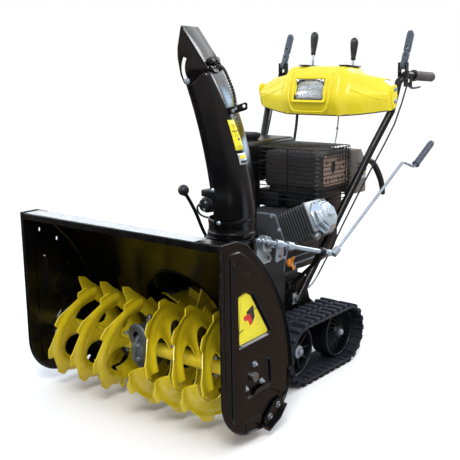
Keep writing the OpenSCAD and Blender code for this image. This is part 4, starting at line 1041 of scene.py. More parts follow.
def make_gearbox():
    y, z = AUGER_YZ
    bm = bmesh.new()
    dome = [(12.8, -37), (24, -37), (27, -35), (28, -30), (30, -27), (48, -25), (56, -20), (60, -12),
            (61, -5), (66, -4.6),
            (67, -3.6), (67, 3.6), (66, 4.6), (61, 5), (60, 12), (56, 20), (48, 25), (30, 27), (28, 30),
            (27, 35),
            (24, 37), (12.8, 37)]
    lathe(bm, dome, (0, y, z), (1, 0, 0), 64)
    tube_z = 235
    lathe(bm, [(12.8, 84), (28, 84), (33, 85), (35.5, 87), (35.5, 91), (32, 94), (29, 98), (29, 196),
               (31, 202), (34, 206),
               (34.5, 214), (33, 216), (12.8, 216)], (0, 0, tube_z), (0, 1, 0), 48)
    for side in (-1, 1):
        for a in range(-160, 200, 40):
            c = (side * 4, y + 57.5 * math.cos(math.radians(a)), z + 57.5 * math.sin(math.radians(a)))
            lathe(bm, [(0, 0), (8.5, 0), (8.5, 9), (7.6, 11), (0, 11)], c, (side, 0, 0), 20)
        for a in (-120, -60, 0, 60, 120, 180):
            p = Vector((0, math.cos(math.radians(a)), math.sin(math.radians(a))))
            s = Vector((side * 26, y, z)) + p * 26
            e = Vector((side * 22, y, z)) + p * 52
            tube(bm, [s, s.lerp(e, 0.5) + Vector((side * 0.6, 0, 0)), e], 2.6, 8)
    lathe(bm, [(0, 0), (10, 0), (10, 10), (8, 14), (8, 18), (0, 18)], (0, 140, 262), (0, 0, 1), 24)
    piece("gearbox_casting", bm, "casting", "root", ("gearbox_case",), bevel=0.7)
    bm = bmesh.new()
    for side in (-1, 1):
        for a in range(-160, 200, 40):
            c = (side * 15, y + 57.5 * math.cos(math.radians(a)), z + 57.5 * math.sin(math.radians(a)))
            hex_bolt(bm, c, (side, 0, 0), 4.6, 4, washer=False)
    hex_bolt(bm, (0, 140, 279), (0, 0, 1), 7, 4)
    piece("gearbox_bolts", bm, "steel", bevel=0.3)


def make_impeller():
    soften("impeller", "yellow", 1.0)
    soften("impeller_shaft", "steel", 0.6)
    bm = bmesh.new()
    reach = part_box("impeller")[1].x / MM
    for k in range(4):
        a = math.radians(20 + 90 * k)
        turn = Matrix.Translation((0, 0, 235)) @ Matrix.Rotation(a, 4, "Y")
        part = bmesh.new()
        block(part, (reach - 30, 342, -5.6), (reach - 5, 456, -3.4), 0.8)
        for y in (360, 400, 440):
            lathe(part, [(0, 0), (5, 0), (4.4, 2), (0, 2.8)], (reach - 24, y, -5.6), (0, 0, -1), 16)
        stamp(bm, part, turn)
    piece("impeller_edges", bm, "steel", "impeller", bevel=0)


# ---------------------------------------------------------------- chute

CHUTE_AT = Vector((100.0, 408.0, 484.0))
CHUTE_FRAME = Matrix.Translation(CHUTE_AT) @ Matrix.Rotation(math.radians(-157), 4, "Z")
CHUTE_W = 150.0
HINGE = (50.0, 504.0)
SLOT_BOLT = (108.5, 466.5)
CORNER_STEPS = ((45, 73), (107, 66), (168, 60), (274, 48), (334, 41), (393, 30), (452, 20), (500, 12))


def back_edge(v):
    return 925.7 - math.sqrt(1000 ** 2 - (v - 20) ** 2)


def front_edge(v):
    return 1731 - math.sqrt(1700 ** 2 - (v + 60) ** 2)


def chute_corner(v):
    """Radius between the back and the side walls: nearly a half circle at the base, tight at the top."""
    for (v0, r0), (v1, r1) in zip(CORNER_STEPS, CORNER_STEPS[1:]):
        if v <= v1:
            return lerp(r0, r1, max(0.0, (v - v0) / (v1 - v0)))
    return CORNER_STEPS[-1][1]


def on_corner(v, angle, lift):
    """Point on the rounded near corner, lifted off it; 0 degrees faces the near side and 90 the back."""
    r, a = chute_corner(v), math.radians(angle)
    reach = r + lift
    return (back_edge(v) + 0.4 + r - reach * math.sin(a), CHUTE_W / 2 - 0.4 - r + reach * math.cos(a), v)


def chute_section(v):
    """Open section in (u, w), from the near wall's front edge round the back to the far wall's."""
    front, back, r = front_edge(v), back_edge(v) + 0.4, chute_corner(v)
    w = CHUTE_W / 2 - 0.4
    r = min(r, w - 1, (front - back) * 0.8)
    half = [(front, w), (lerp(front, back + r, 0.33), w), (lerp(front, back + r, 0.66), w)]
    half += [(back + r - r * math.sin(math.radians(a)), w - r + r * math.cos(math.radians(a)))
             for a in range(0, 90, 9)]
    half.append((back, 0.35 * (w - r)))
    return half + [(u, -y) for u, y in reversed(half)]


def chute_piece(name, bm, finish, body, nodes=(), **edges):
    """A piece that is modelled in the chute's own frame."""
    bm.transform(CHUTE_FRAME)
    return piece(name, bm, finish, body, nodes, **edges)


def make_chute():
    bm = bmesh.new()
    rows = []
    steps = [58, 70, 84, 100, 120, 140, 165, 190, 220, 250, 280, 310, 340, 370, 400, 425, 445, 460]
    for v in steps:
        rows.append([bm.verts.new((u, w, v)) for u, w in chute_section(v)])
    # the walls end on a slope above the slot bolts
    for lift, v in ((0.45, 470), (0.75, 482), (1.0, 495)):
        section = chute_section(min(v, 494))
        cut = lerp(front_edge(460), HINGE[0] + 16, lift)
        rows.append([bm.verts.new((min(u, cut), w, v)) for u, w in section])
    skin(bm, rows, closed=False)
    walls = chute_piece("chute_walls", bm, "black", "chute", ("chute",), sharp=50)
    thicken(walls, 2.6, 0.0)

    # flanges turned over along the front edges, base tube, toothed ring and apron
    bm = bmesh.new()
    w = CHUTE_W / 2
    for s in (-1, 1):
        tube(bm, [(front_edge(v) - 1.5, s * (w - 0.6), v) for v in range(96, 466, 14)], 3.0, 10, flat=0.7)
        tube(bm, [(front_edge(v) - 10.5, s * (w - 0.3), v) for v in range(120, 452, 14)], 1.3, 8)
    teeth = []
    ring_r = 83.0
    for k in range(40):
        for d, r in ((-3.4, ring_r), (-1.9, ring_r - 2.4), (1.9, ring_r - 2.4), (3.4, ring_r)):
            a = math.radians(9 * k + d)
            teeth.append((r * math.cos(a), r * math.sin(a)))
    prism(bm, teeth, "z", -2, 2, (circle((0, 0), 72.6, 48)[::-1],))
    lathe(bm, [(70.6, -2), (73, -2), (73, 8), (76.6, 9), (76.6, 20), (73, 21), (73, 46), (74.4, 47),
               (74.4, 57), (73, 58),
               (73, 60), (70.6, 60), (70.6, -2)],
          (0, 0, 0), (0, 0, 1), 64)
    prism(bm, [(32, 34), (45, 172), (42, 172), (29, 34)], "y", -w + 3, w - 3)
    chute_piece("chute_base", bm, "black", "chute", bevel=0.4, sharp=40)

    bm = bmesh.new()
    for s in (-1, 1):
        out = (0, s, 0)
        hex_bolt(bm, (SLOT_BOLT[0], s * (w + 3.4), SLOT_BOLT[1]), out, 6.0, 5.0)
        for u, v in ((44.5, 152), (27, 54)):
            lathe(bm, [(0, 0), (6.5, 0), (6.2, 1.5), (3.5, 3.2), (0, 3.8)], (u - 6, s * w, v), out, 20)
    chute_piece("chute_bolts", bm, "zinc", "chute", bevel=0.3)

    # labels on the rounded near corner: plain yellow and silver with blank marks
    for name, finish, v0, v1, a0, a1, lift in (
            ("chute_label", "label", 268, 356, 46, 104, 0.6), ("chute_label_rule", "ink", 322, 324.5, 52,
                                                               98, 0.8),
            ("chute_label_mark", "ink", 296, 303, 70, 82, 0.8),
            ("chute_plate", "silver_label", 226, 259, 50, 100, 0.6), ("chute_plate_band", "label", 243,
                                                                      253, 56, 96, 0.8),
            ("chute_plate_line", "ink", 230, 238, 56, 96, 0.8)):
        bm = bmesh.new()
        rows = []
        for k in range(7):
            v = lerp(v0, v1, k / 6)
            rows.append([bm.verts.new(on_corner(v, lerp(a0, a1, m / 8), 0.6 + lift)) for m in range(9)])
        skin(bm, rows, closed=False)
        thicken(chute_piece(name, bm, finish, "chute"), 0.3, 0.0)

    # bracket that holds the cable's end: a foot on the back and a drilled leaf that stands out from it
    bm = bmesh.new()
    u = back_edge(384)
    part = bmesh.new()
    prism(part, rounded(rect(22, 370, 46, 392), 3), "x", u - 4.6, u - 1.4)
    leaf = [(u - 2, 369), (u - 2, 390), (u - 50, 406), (u - 56, 402), (u - 56, 386), (u - 50, 383)]
    prism(part, rounded(leaf, 2.5), "y", 44, 47.2,
          (circle((u - 46, 395), 4.6, 18)[::-1], circle((u - 14, 381), 3, 18)[::-1]))
    stamp(bm, part)
    chute_piece("cable_stop", bm, "frame_black", "chute", bevel=0.5)
    bm = bmesh.new()
    hex_bolt(bm, (u - 4.6, 30, 381), (-1, 0, 0), 4.5, 4)
    hex_bolt(bm, (u - 14, 47.2, 381), (0, 1, 0), 3.6, 3)
    chute_piece("cable_stop_bolts", bm, "zinc", "chute", bevel=0.3)


def make_deflector():
    w = CHUTE_W / 2 + 0.4
    side = [(99.5, 459), (116.2, 457.6), (127.7, 484.6), (135.4, 532.5), (135.3, 560.5), (123.6, 623),
            (112, 603),
            (82, 556), (56, 511), (45, 505), (47, 497), (62.7, 490)]
    slot_r = math.dist(HINGE, SLOT_BOLT)
    slot = arc(HINGE, slot_r + 5.2, -32, 25, 12) + arc(HINGE, slot_r - 5.2, 25, -32, 12)
    bm = bmesh.new()
    for s in (-1, 1):
        prism(bm, rounded(side, [6, 8, 14, 30, 30, 2, 4, 4, 6, 3, 3, 6]), "y", s * w, s * (w + 2.6),
              (slot[::-1],))
    prism(bm, [(123.6, 622.5), (120.5, 623), (79, 557), (53, 513), (46, 506), (48, 502), (56, 510),
               (82, 553), (111, 601)],
          "y", -w, w)
    for s in (-1, 1):
        tube(bm, bent([(117, s * (w + 1.3), 612), (81, s * (w + 1.3), 556), (50, s * (w + 1.3), 507)], 6),
             2.6, 8)
    tube(bm, [(50, -w - 3, 503), (50, w + 3, 503)], 4.4, 14)
    part = bmesh.new()
    for y in (-48, -16, 16, 48):
        tube(part, [(45.5, y - 13, 505), (45.5, y + 13, 505)], 6.0, 16)
    stamp(bm, part)
    chute_piece("deflector_hood", bm, "black", "deflector", ("deflector",), bevel=0.7)

    # spring lug, its cable eye and the end of the cable's boot
    bm = bmesh.new()
    n = Vector((-0.845, 0, 0.535))
    along = Vector((0.535, 0, 0.845))
    root = Vector((50, 10, 509))
    part = bmesh.new()
    block(part, (-22, -24, -1.5), (22, 24, 1.5), 0.8)
    block(part, (-3, -24, 0), (22, -21, 17), 1.0)
    block(part, (-3, 21, 0), (22, 24, 17), 1.0)
    basis = Matrix((along, Vector((0, 1, 0)), n)).transposed().to_4x4()
    stamp(bm, part, Matrix.Translation(root) @ basis)
    chute_piece("deflector_lug", bm, "frame_black", "deflector")
    bm = bmesh.new()
    c = root + n * 12 + along * 10
    lathe(bm, [(0, -34), (7.5, -34), (8.5, -32), (8.5, -6), (7, -4), (7, 4), (10.5, 6), (11.5, 9),
               (11.5, 33), (10, 36), (0, 36)],
          c + Vector((0, 14, 0)), (0, -1, 0), 28)
    chute_piece("deflector_spring_case", bm, "black_plastic", "deflector", bevel=0.5)


def make_chute_cable():
    """Cable in a ribbed boot from the lug's foot down to the angle bracket."""
    bm = bmesh.new()
    top, low = Vector((30, 42, 508)), Vector((back_edge(390) - 24, 46, 393))
    path = bent([top, top + Vector((-20, 2, -6)), Vector((-6, 48, 474)), Vector((-22, 48, 432)), low], 14)
    tube(bm, path, lambda t: 4.4 + 1.5 * math.cos(t * math.tau * 20), 14)
    chute_piece("chute_cable_boot", bm, "sheath", "chute")
    bm = bmesh.new()
    lathe(bm, [(0, -9), (5, -9), (5, -5), (3.4, -4), (3.4, 6), (5.4, 7), (5.4, 10), (0, 10)], low,
          (0, 0, 1), 18)
    chute_piece("chute_cable_ferrule", bm, "zinc", "chute", bevel=0.3)


# ---------------------------------------------------------------- chute drive

WORM_START, JOINT_AT = Vector((199, 395, 487)), Vector((305, 660, 408))
ROD_END, ARM_END = Vector((340, 1040, 661)), Vector((352, 1100, 638))


def worm_at(t):
    return WORM_START.lerp(JOINT_AT, t)


def make_chute_drive():
    d = (JOINT_AT - WORM_START).normalized()
    bm = bmesh.new()
    lathe(bm, [(0, 0), (5, 0), (5, 2), (5, 38), (7.2, 40), (7.2, 268), (6, 270), (0, 270)], WORM_START, d,
          24)
    side = d.orthogonal().normalized()
    other = d.cross(side)
    turns = 3.5
    path = []
    for k in range(int(turns * 20) + 1):
        a = math.tau * k / 20
        path.append(WORM_START + d * (4 + 56 * k / (turns * 20)) + side * 7.6 * math.cos(a)
                    + other * 7.6 * math.sin(a))
    tube(bm, path, 2.6, 10)
    # fork of the universal joint
    lathe(bm, [(0, 266), (10.5, 266), (11, 268), (11, 280), (10, 282), (0, 282)], WORM_START, d, 24)
    piece("worm_and_shaft", bm, "zinc", "worm_shaft", ("worm_shaft",), bevel=0.3)

    c = (ROD_END - JOINT_AT).normalized()
    bm = bmesh.new()
    lathe(bm, [(0, -4), (10, -4), (11, -3), (11, 24), (9, 26), (6, 30), (0, 30)], JOINT_AT, c, 24)
    tube(bm, elbowed([JOINT_AT + c * 20, ROD_END, ARM_END, ARM_END + c * 139], 10), 4.9, 14)
    lathe(bm, [(0, 136), (7.6, 136), (8, 137), (8, 138.5), (0, 139)], ARM_END, c, 20)
    piece("crank_rod_bent", bm, "zinc", "crank_rod", ("crank_rod",), bevel=0.2)
    bm = bmesh.new()
    profile = [(5.1, 12), (12.8, 12), (13.4, 13), (13.4, 17), (11, 19)]
    for k in range(11):
        z = 22 + 9.4 * k
        profile += [(10.6, z), (11.5, z + 1.6), (11.5, z + 6.4), (10.6, z + 8)]
    profile += [(11.2, 129), (10, 132), (5.1, 132)]
    lathe(bm, profile, ARM_END, c, 28)
    piece("crank_grip_ribbed", bm, "blue_plastic", "crank_grip", ("crank_grip",))

    # zinc bracket: cheeks with a big pivot bolt, a folded leaf and a wing bolted to the neck
    bm = bmesh.new()
    cheek = arc((440, 466), 24, -20, 200, 18) + [(417, 430), (425, 404), (440, 400), (486, 400), (492, 412)]
    prism(bm, cheek, "x", 182.4, 185.6, (circle((440, 466), 8, 20)[::-1], circle((474, 416), 4, 16)[::-1]))
    prism(bm, arc((440, 466), 24, -30, 190, 16) + [(421, 446), (462, 440)], "x", 205, 208,
          (circle((440, 466), 8, 20)[::-1],))
    tube(bm, [(p[0], p[1], p[2]) for p in ((186, 417, 468), (205, 417, 468))], 1.6, 8)
    for y, z in ((424, 484), (440, 490), (456, 484)):
        block(bm, (185, y - 5, z - 1.5), (206, y + 5, z + 1.5), 0.7)
    block(bm, (172.4, 402, 400), (186, 486, 403), 0.8)
    prism(bm, rounded([(470, 404), (508, 410), (512, 448), (474, 452)], 7), "x", 214, 217,
          (circle((490, 424), 4, 16)[::-1],))
    block(bm, (186, 474, 448), (217, 508, 451), 0.9)
    eye = [(8, -11), (12.4, -11), (13, -10), (13, 10), (12.4, 11), (8, 11)]
    lathe(bm, eye, worm_at(0.28), d, 28)
    lathe(bm, eye, worm_at(0.42), d, 28)
    piece("chute_drive_bracket", bm, "zinc", "root", ("worm_bracket",), bevel=0.5)
    bm = bmesh.new()
    hex_bolt(bm, (208, 440, 466), (1, 0, 0), 9, 7)
    hex_bolt(bm, (185.6, 474, 416), (1, 0, 0), 5, 5)
    hex_bolt(bm, (217, 490, 424), (1, 0, 0), 5, 5)
    tube(bm, [(182, 440, 466), (208, 440, 466)], 7.6, 18)
    piece("chute_drive_bolts", bm, "steel", bevel=0.3)

    # eye on a strap that carries the shaft's rear end
    bm = bmesh.new()
    at_eye = worm_at(0.84)
    lathe(bm, [(7.4, -8), (12, -8), (14, -6), (14, 6), (12, 8), (7.4, 8)], at_eye, d, 28)
    strap = bent([at_eye + Vector((-8, 0, -10)), at_eye + Vector((-24, 6, -34)), Vector((214, 640, 342)),
                  Vector((166, 650, 300)),
                  Vector((152, 651, 286))], 6)
    tube(bm, strap, 7.5, 12, flat=0.5)
    block(bm, (142.4, 636, 268), (150, 666, 294), 1.2)
    piece("shaft_hanger", bm, "frame_black", "root", ("crank_bracket",), bevel=0.5)


# ---------------------------------------------------------------- engine

CRANK_Z = 405.0
BARREL_LEAN = 25.0


def make_guard():
    """Wire guard round the muffler: thin level wires, and upright ones over the side's upper half."""
    lo, hi = Vector((-50, 740, 568)), Vector((200, 955, 720))
    lowest, pitch, level_wires = 546, 14.3, 13
    top = lowest + (level_wires - 1) * pitch
    bm = bmesh.new()
    for k in range(level_wires):
        z = lowest + k * pitch
        loop = [(lo.x, lo.y, z), (hi.x, lo.y, z), (hi.x, hi.y, z), (lo.x, hi.y, z)]
        tube(bm, elbowed(loop, 46, 8), 1.7, 8)
    for k in range(18):
        x = lerp(lo.x + 4, hi.x - 34, k / 17)
        tube(bm, elbowed([(x, lo.y - 1, top - 12), (x, lo.y - 1, top + 1.5), (x, hi.y + 1, top + 1.5),
                          (x, hi.y + 1, top - 12)],
                         6, 4), 1.3, 8)
    for k in range(15):
        y = lerp(lo.y + 44, hi.y - 30, k / 14)
        tube(bm, [(hi.x + 0.4, y, top - (44 if k > 5 else 26)), (hi.x + 0.4, y, top)], 1.3, 8)
    for x, y in ((lo.x + 3, lo.y + 1), (70, lo.y + 1), (lo.x + 3, hi.y - 1), (70, hi.y - 1),
                 (hi.x - 1, 900)):
        tube(bm, [(x, y, 543), (x, y, top + 2)], 1.8, 8)
    block(bm, (60, hi.y - 3, 539), (90, hi.y + 1, 570), 0.8)
    piece("muffler_guard_wires", bm, "frame_black", "root", ("muffler_guard",))


def make_muffler():
    soften("muffler", "soot", 2.0)
    bm = bmesh.new()
    # pressed side plate with an oval outlet and louvres
    oval = [(836 + 17 * math.cos(math.tau * k / 28), 654 + 22 * math.sin(math.tau * k / 28))
            for k in range(28)]
    slots = tuple(rounded(rect(y, z, y + 9, z + 14), 2)[::-1]
                  for y, z in ((790, 606), (812, 604), (866, 604), (888, 606), (906, 620), (872, 640),
                               (898, 650), (792, 664),
                               (870, 668), (892, 672)))
    prism(bm, rounded(rect(778, 594, 926, 694), 12), "x", 187, 189.4, (oval[::-1],
                                                                                               *slots))
    tube(bm, [(188.6, y, z) for y, z in oval + oval[:2]], 2.0, 8)
    for y in (800, 838, 876):
        block(bm, (186, y, 672), (191.5, y + 24, 677), 1.2)
    for y, z in ((786, 602), (918, 602), (786, 686), (918, 686)):
        hex_bolt(bm, (189.2, y, z), (1, 0, 0), 4.2, 4)
    piece("muffler_side", bm, "rust", bevel=0.4)


def make_cylinder():
    """Finned barrel and head lying over to the right, with a stepped chrome rocker cover."""
    turn = Matrix.Translation((0, 722, CRANK_Z)) @ Matrix.Rotation(math.radians(90 - BARREL_LEAN), 4, "Y")
    bm = bmesh.new()
    for k in range(10):
        z = 124 + k * 10.6
        r = 60 if k % 2 else 58
        prism(bm, rounded(rect(-r, -64, r, 64), 16), "z", z, z + 3.2)
    lathe(bm, rect(0, 118.4, 46, 214), (0, 0, 0), (0, 0, 1), 40)
    block(bm, (-50, -58, 222), (50, 58, 236), 4)
    bm.transform(turn)
    piece("cylinder_fins", bm, "engine", "root", ("engine_cylinder",), bevel=0.5, segments=1)

    bm = bmesh.new()
    block(bm, (-60, -62, 232), (40, 58, 240), 3)
    lathe(bm, [(0, 0), (13, 0), (13, 26), (11, 28), (0, 28)], (40, -44, 214), (0.7, 0, 0.7), 24)
    bm.transform(turn)
    piece("cylinder_head_deck", bm, "alloy", bevel=0.6)

    def octagon(r, z):
        return [bm.verts.new((r * math.cos(math.radians(22.5 + 45 * k)),
                              r * math.sin(math.radians(22.5 + 45 * k)), z)) for k in range(8)]

    bm = bmesh.new()
    rows = [octagon(r, z) for r, z in ((60, 240.4), (60, 246), (57, 248.4), (55, 249), (53, 262),
                                       (49, 266), (46, 267),
                                       (43, 272), (40, 274.6))]
    skin(bm, rows)
    cap(bm, [rows[0]])
    cap(bm, [rows[-1]])
    bm.transform(turn)
    piece("rocker_cover_pressing", bm, "chrome", "root", ("rocker_cover",), bevel=1.8, segments=3, sharp=50)
    bm = bmesh.new()
    hex_bolt(bm, (0, 0, 274.6), (0, 0, 1), 8.5, 6)
    for a in (22.5, 112.5, 202.5, 292.5):
        hex_bolt(bm, (54 * math.cos(math.radians(a)), 54 * math.sin(math.radians(a)), 247.6), (0, 0, 1),
                 4.4, 4)
    bm.transform(turn)
    piece("rocker_cover_bolts", bm, "zinc", bevel=0.3)


def make_crankcase():
    soften("crankcase", "engine", 1.6)
    # intake duct and cowl that fill the space between the case and the guard
    bm = bmesh.new()
    block(bm, (-94, 752, 512), (24, 850, 566), 12)
    block(bm, (28, 776, 508), (104, 850, 566), 12)
    block(bm, (-30, 766, 548), (170, 926, 592), 14)
    block(bm, (104, 856, 470), (158, 950, 560), 10)
    block(bm, (-94, 700, 506), (-62, 760, 590), 6)
    for k in range(5):
        block(bm, (-80 + 20 * k, 749.6, 522), (-72 + 20 * k, 754, 558), 1.4)
    piece("intake_cowl", bm, "black_plastic", bevel=0.0)
    bm = bmesh.new()
    # joint flange round the case's front with its bolts, ribs under the cylinder, feet on the frame
    rim = [(-109, 313), (119, 313), (136, 401), (86, 513), (-54, 513), (-109, 452)]
    prism(bm, rounded(rim, 12), "y", 646, 653, (rounded(inset(rim, 9), 8)[::-1],))
    for k, (x0, x1) in enumerate(((-98, -84), (-40, -26), (30, 44), (96, 110))):
        block(bm, (x0, 640, 306), (x1, 650, 330), 2)
    for z in (338, 362, 386):
        block(bm, (112, 680, z), (129, 836, z + 4), 1)
    piece("crankcase_flange", bm, "lug_blue", bevel=0.8)
    bm = bmesh.new()
    for x, z in ((-99, 326), (-40, 320), (40, 320), (107, 322), (124, 372), (126, 414), (104, 462),
                 (76, 504), (8, 505),
                 (-46, 504), (-96, 446), (-101, 386)):
        hex_bolt(bm, (x, 646, z), (0, -1, 0), 5.4, 5)
    for x in (-108, 108):
        hex_bolt(bm, (x, 720, 318), (0, 0, 1), 6.5, 6)
    lathe(bm, [(0, 0), (9, 0), (9, 5), (7, 7), (0, 7)], (122, 700, 330), (1, 0, 0), 6)
    piece("crankcase_bolts", bm, "zinc", bevel=0.4)
    # governor arm and its thin rods on the right-hand side
    bm = bmesh.new()
    tube(bm, bent([(176, 700, 470), (160, 672, 430), (134, 660, 392)], 8), 2.2, 10)
    tube(bm, bent([(150, 836, 500), (152, 800, 470), (140, 742, 452)], 8), 1.6, 10)
    block(bm, (133, 734, 440), (136, 750, 492), 0.8)
    tube(bm, bent([(186, 752, 300), (179, 730, 274), (166, 706, 256), (158, 694, 246)], 8), 3.0, 12)
    piece("governor_rods", bm, "zinc", bevel=0.2)


def make_shroud():
    """Blower housing with ribs, recoil housing with its grille, rope outlet and grip."""
    soften("blower_housing", "black_plastic", 3.0)
    bm = bmesh.new()
    for k in range(9):
        z = 440 + k * 10.5
        block(bm, (110, 860, z), (113.6, 956, z + 4.6), 1.2)
    for k in range(8):
        x = -70 + k * 22
        block(bm, (x, 862, 537), (x + 8, 952, 541), 1.2)
    piece("blower_ribs", bm, "engine", bevel=0.0)

    soften("recoil_cover", "black_plastic", 1.6)
    bm = bmesh.new()
    for k in range(5):
        r = 20 + 13 * k
        lathe(bm, [(r, 0), (r + 3, 0), (r + 3, 3), (r, 3), (r, 0)], (0, 1023.5, CRANK_Z), (0, 1, 0), 60)
    for k in range(12):
        a = math.tau * k / 12
        u, w = Vector((math.cos(a), 0, math.sin(a))), Vector((-math.sin(a), 0, math.cos(a)))
        c = Vector((0, 0, CRANK_Z))
        quad = [c + u * 18 + w * 1.6, c + u * 84 + w * 1.6, c + u * 84 - w * 1.6, c + u * 18 - w * 1.6]
        prism(bm, [(p.x, p.z) for p in quad], "y", 1023, 1026)
    piece("recoil_grille", bm, "black_plastic", bevel=0.5)
    bm = bmesh.new()
    for k in range(3):
        a = math.radians(30 + 120 * k)
        hex_bolt(bm, (104 * math.cos(a), 992.2, CRANK_Z + 104 * math.sin(a)), (0, 1, 0), 6, 5)
    piece("recoil_bolts", bm, "zinc", bevel=0.3)

    bm = bmesh.new()
    route = bent([(195, 1051, 655), (200, 1080, 646), (205, 1106, 616), (207, 1134, 574),
                  (203, 1160, 522)], 10)
    tube(bm, route, lambda t: 9.4 + 1.6 * math.sin(math.pi * t) - 2.0 * max(0.0, t - 0.93) / 0.07, 20)
    tube(bm, bent([(188, 1049, 628), (192, 1050, 644), (196, 1052, 656)], 6), 2.6, 10)
    piece("recoil_handle", bm, "black_plastic", rides("recoil_grip"), ("recoil_grip",))


def make_carburettor_box():
    """Air box on the right with a grey cover, a plain stripe and two louvres."""
    bm = bmesh.new()
    outline = rounded([(962, 548), (1038, 548), (1038, 650), (1004, 700), (962, 700)], 7)
    prism(bm, outline, "x", 106, 198.5)
    prism(bm, inset(outline, 4), "x", 198.5, 200)
    for k in range(6):
        block(bm, (120, 960.6, 570 + 18 * k), (190, 963, 578 + 18 * k), 0.9)
    block(bm, (106, 958, 538.6), (130, 963, 600), 1)
    piece("air_box_shell", bm, "taupe", "root", ("carburettor_box",), bevel=0.9)
    bm = bmesh.new()
    prism(bm, rect(970, 611, 1030, 623), "x", 200, 200.5)
    piece("air_box_stripe", bm, "label", bevel=0.1)
    bm = bmesh.new()
    prism(bm, rect(970, 597, 1030, 608), "x", 200, 200.5)
    piece("air_box_stripe_low", bm, "silver_label", bevel=0.1)
    bm = bmesh.new()
    for z in (636, 648):
        prism(bm, rounded(rect(974, z, 1022, z + 5), 2), "x", 200, 200.5)
    piece("air_box_louvres", bm, "black_plastic", bevel=0.1)


def make_oil_cap():
    bm = bmesh.new()
    o = Vector((128, 667, 352))
    lathe(bm, [(0, 0.4), (14, 0.4), (15, 1.4), (15, 8), (13.4, 10), (9, 11), (0, 11)], o, (1, 0, 0), 10)
    for s in (-1, 1):
        tube(bm, bent([o + Vector((9, 0, s * 3)), o + Vector((14, 0, s * 10)), o + Vector((19, 0, s * 19)),
                       o + Vector((21, 0, s * 22))], 5), 4.2, 12, flat=0.7)
    tube(bm, [o + Vector((-14, 0, 0)), o + Vector((1, 0, 0))], 8.6, 16)
    piece("oil_cap_handle", bm, "orange", rides("oil_cap"), ("oil_cap",), bevel=0.5)


def make_starter():
    """Electric starter beside the crankcase, its switch box and a looped lead."""
    bm = bmesh.new()
    x, z = -172.0, 524.0
    lathe(bm, [(0, 588), (20, 588), (22, 590), (22, 600), (27, 602), (28, 606), (28, 739), (31, 740),
               (34, 743), (34, 754),
               (32, 756), (0, 756)], (x, 0, z), (0, 1, 0), 44)
    for k in range(6):
        lathe(bm, [(28, 0), (29.2, 1), (29.2, 4), (28, 5)], (x, 620 + 18 * k, z), (0, 1, 0), 44)
    block(bm, (-150, 740, 452), (-106, 752, 540), 2)
    piece("starter_body", bm, "engine", "root", ("starter_motor",), bevel=0.5)
    bm = bmesh.new()
    block(bm, (-198, 606, 550), (-146, 690, 574), 4)
    tube(bm, bent([(-182, 590, 532), (-196, 584, 516), (-190, 588, 494), (-172, 594, 484),
                   (-152, 606, 480)], 8), 3.4, 12)
    piece("starter_cover_and_lead", bm, "black_plastic", bevel=0.4)
    bm = bmesh.new()
    for a in (45, 165, 285):
        q = math.radians(a)
        hex_bolt(bm, (x + 15 * math.cos(q), 588.2, z + 15 * math.sin(q)), (0, -1, 0), 3.4, 3)
    piece("starter_screws", bm, "zinc", bevel=0.2)


def make_tank():
    soften("fuel_tank", "frame_black", 2.2)
    bm = bmesh.new()
    c = (-127, 799, 742.4)
    outline = [(32 + (1.4 if k % 2 else -0.8)) for k in range(48)]
    prism(bm, [(c[0] + r * math.cos(math.tau * k / 48), c[1] + r * math.sin(math.tau * k / 48))
               for k, r in enumerate(outline)], "z", 742.4, 756)
    lathe(bm, [(19.4, -16), (31, 0), (31, 14), (26, 15.6), (0, 15.6)], c, (0, 0, 1), 48)
    block(bm, (-152, 794, 757), (-102, 804, 760), 1.5)
    piece("fuel_cap_ribbed", bm, "black_plastic", rides("fuel_cap"), ("fuel_cap",), bevel=0.6)


def make_height_lever():
    bm = bmesh.new()
    pin = Vector((-156, 646, 330))
    route = bent([pin + Vector((-10, 0, 0)), (-180, 636, 372), (-210, 626, 430), (-214, 590, 504),
                  (-214, 538, 578)], 8)
    tube(bm, route, 6, 16)
    lathe(bm, [(7.4, -8), (16, -8), (16, 5), (7.4, 5), (7.4, -8)], pin + Vector((-8, 0, 0)), (1, 0, 0), 28)
    piece("height_lever_rod", bm, "frame_black", rides("height_lever"), ("height_lever",), bevel=0.4)
    bm = bmesh.new()
    ball = [polar(19, a) for a in range(-72, 90,
                                                                                            9)] + [(0, 19)]
    lathe(bm, [(0, -21), (7.5, -21), (7.5, -18)] + ball, (-214, 536, 580), (0, -0.5, 0.85), 32)
    piece("height_lever_knob", bm, "knob", rides("height_lever"))


def make_engine():
    make_guard()
    make_muffler()
    make_cylinder()
    make_crankcase()
    make_shroud()
    make_carburettor_box()
    make_oil_cap()
    make_starter()
    make_tank()
    make_height_lever()


# ---------------------------------------------------------------- dash, levers and handlebar

GRIP_X = 258.0
GRIP_R = 17.5
LEVER_PINS = {"speed": (-60, 1084), "deflector": (100, 1098)}
FACE_UP = Vector((0, 26, 87)).normalized()
FACE_OUT = Vector((0, -FACE_UP.z, FACE_UP.y))
LAMP_EDGE = rounded(rect(-62, -6, 62, 72), 5)


def on_face(x, h, lift):
    """Point on the dash's front above the lamp's foot: h along the slope, lift off it."""
    return Vector((x, 968, 871)) + FACE_UP * h + FACE_OUT * lift


def face_frame():
    return Matrix.Translation(on_face(0, 0, 0)) @ Matrix((Vector((1, 0, 0)), FACE_UP,
                                                          FACE_OUT)).transposed().to_4x4()


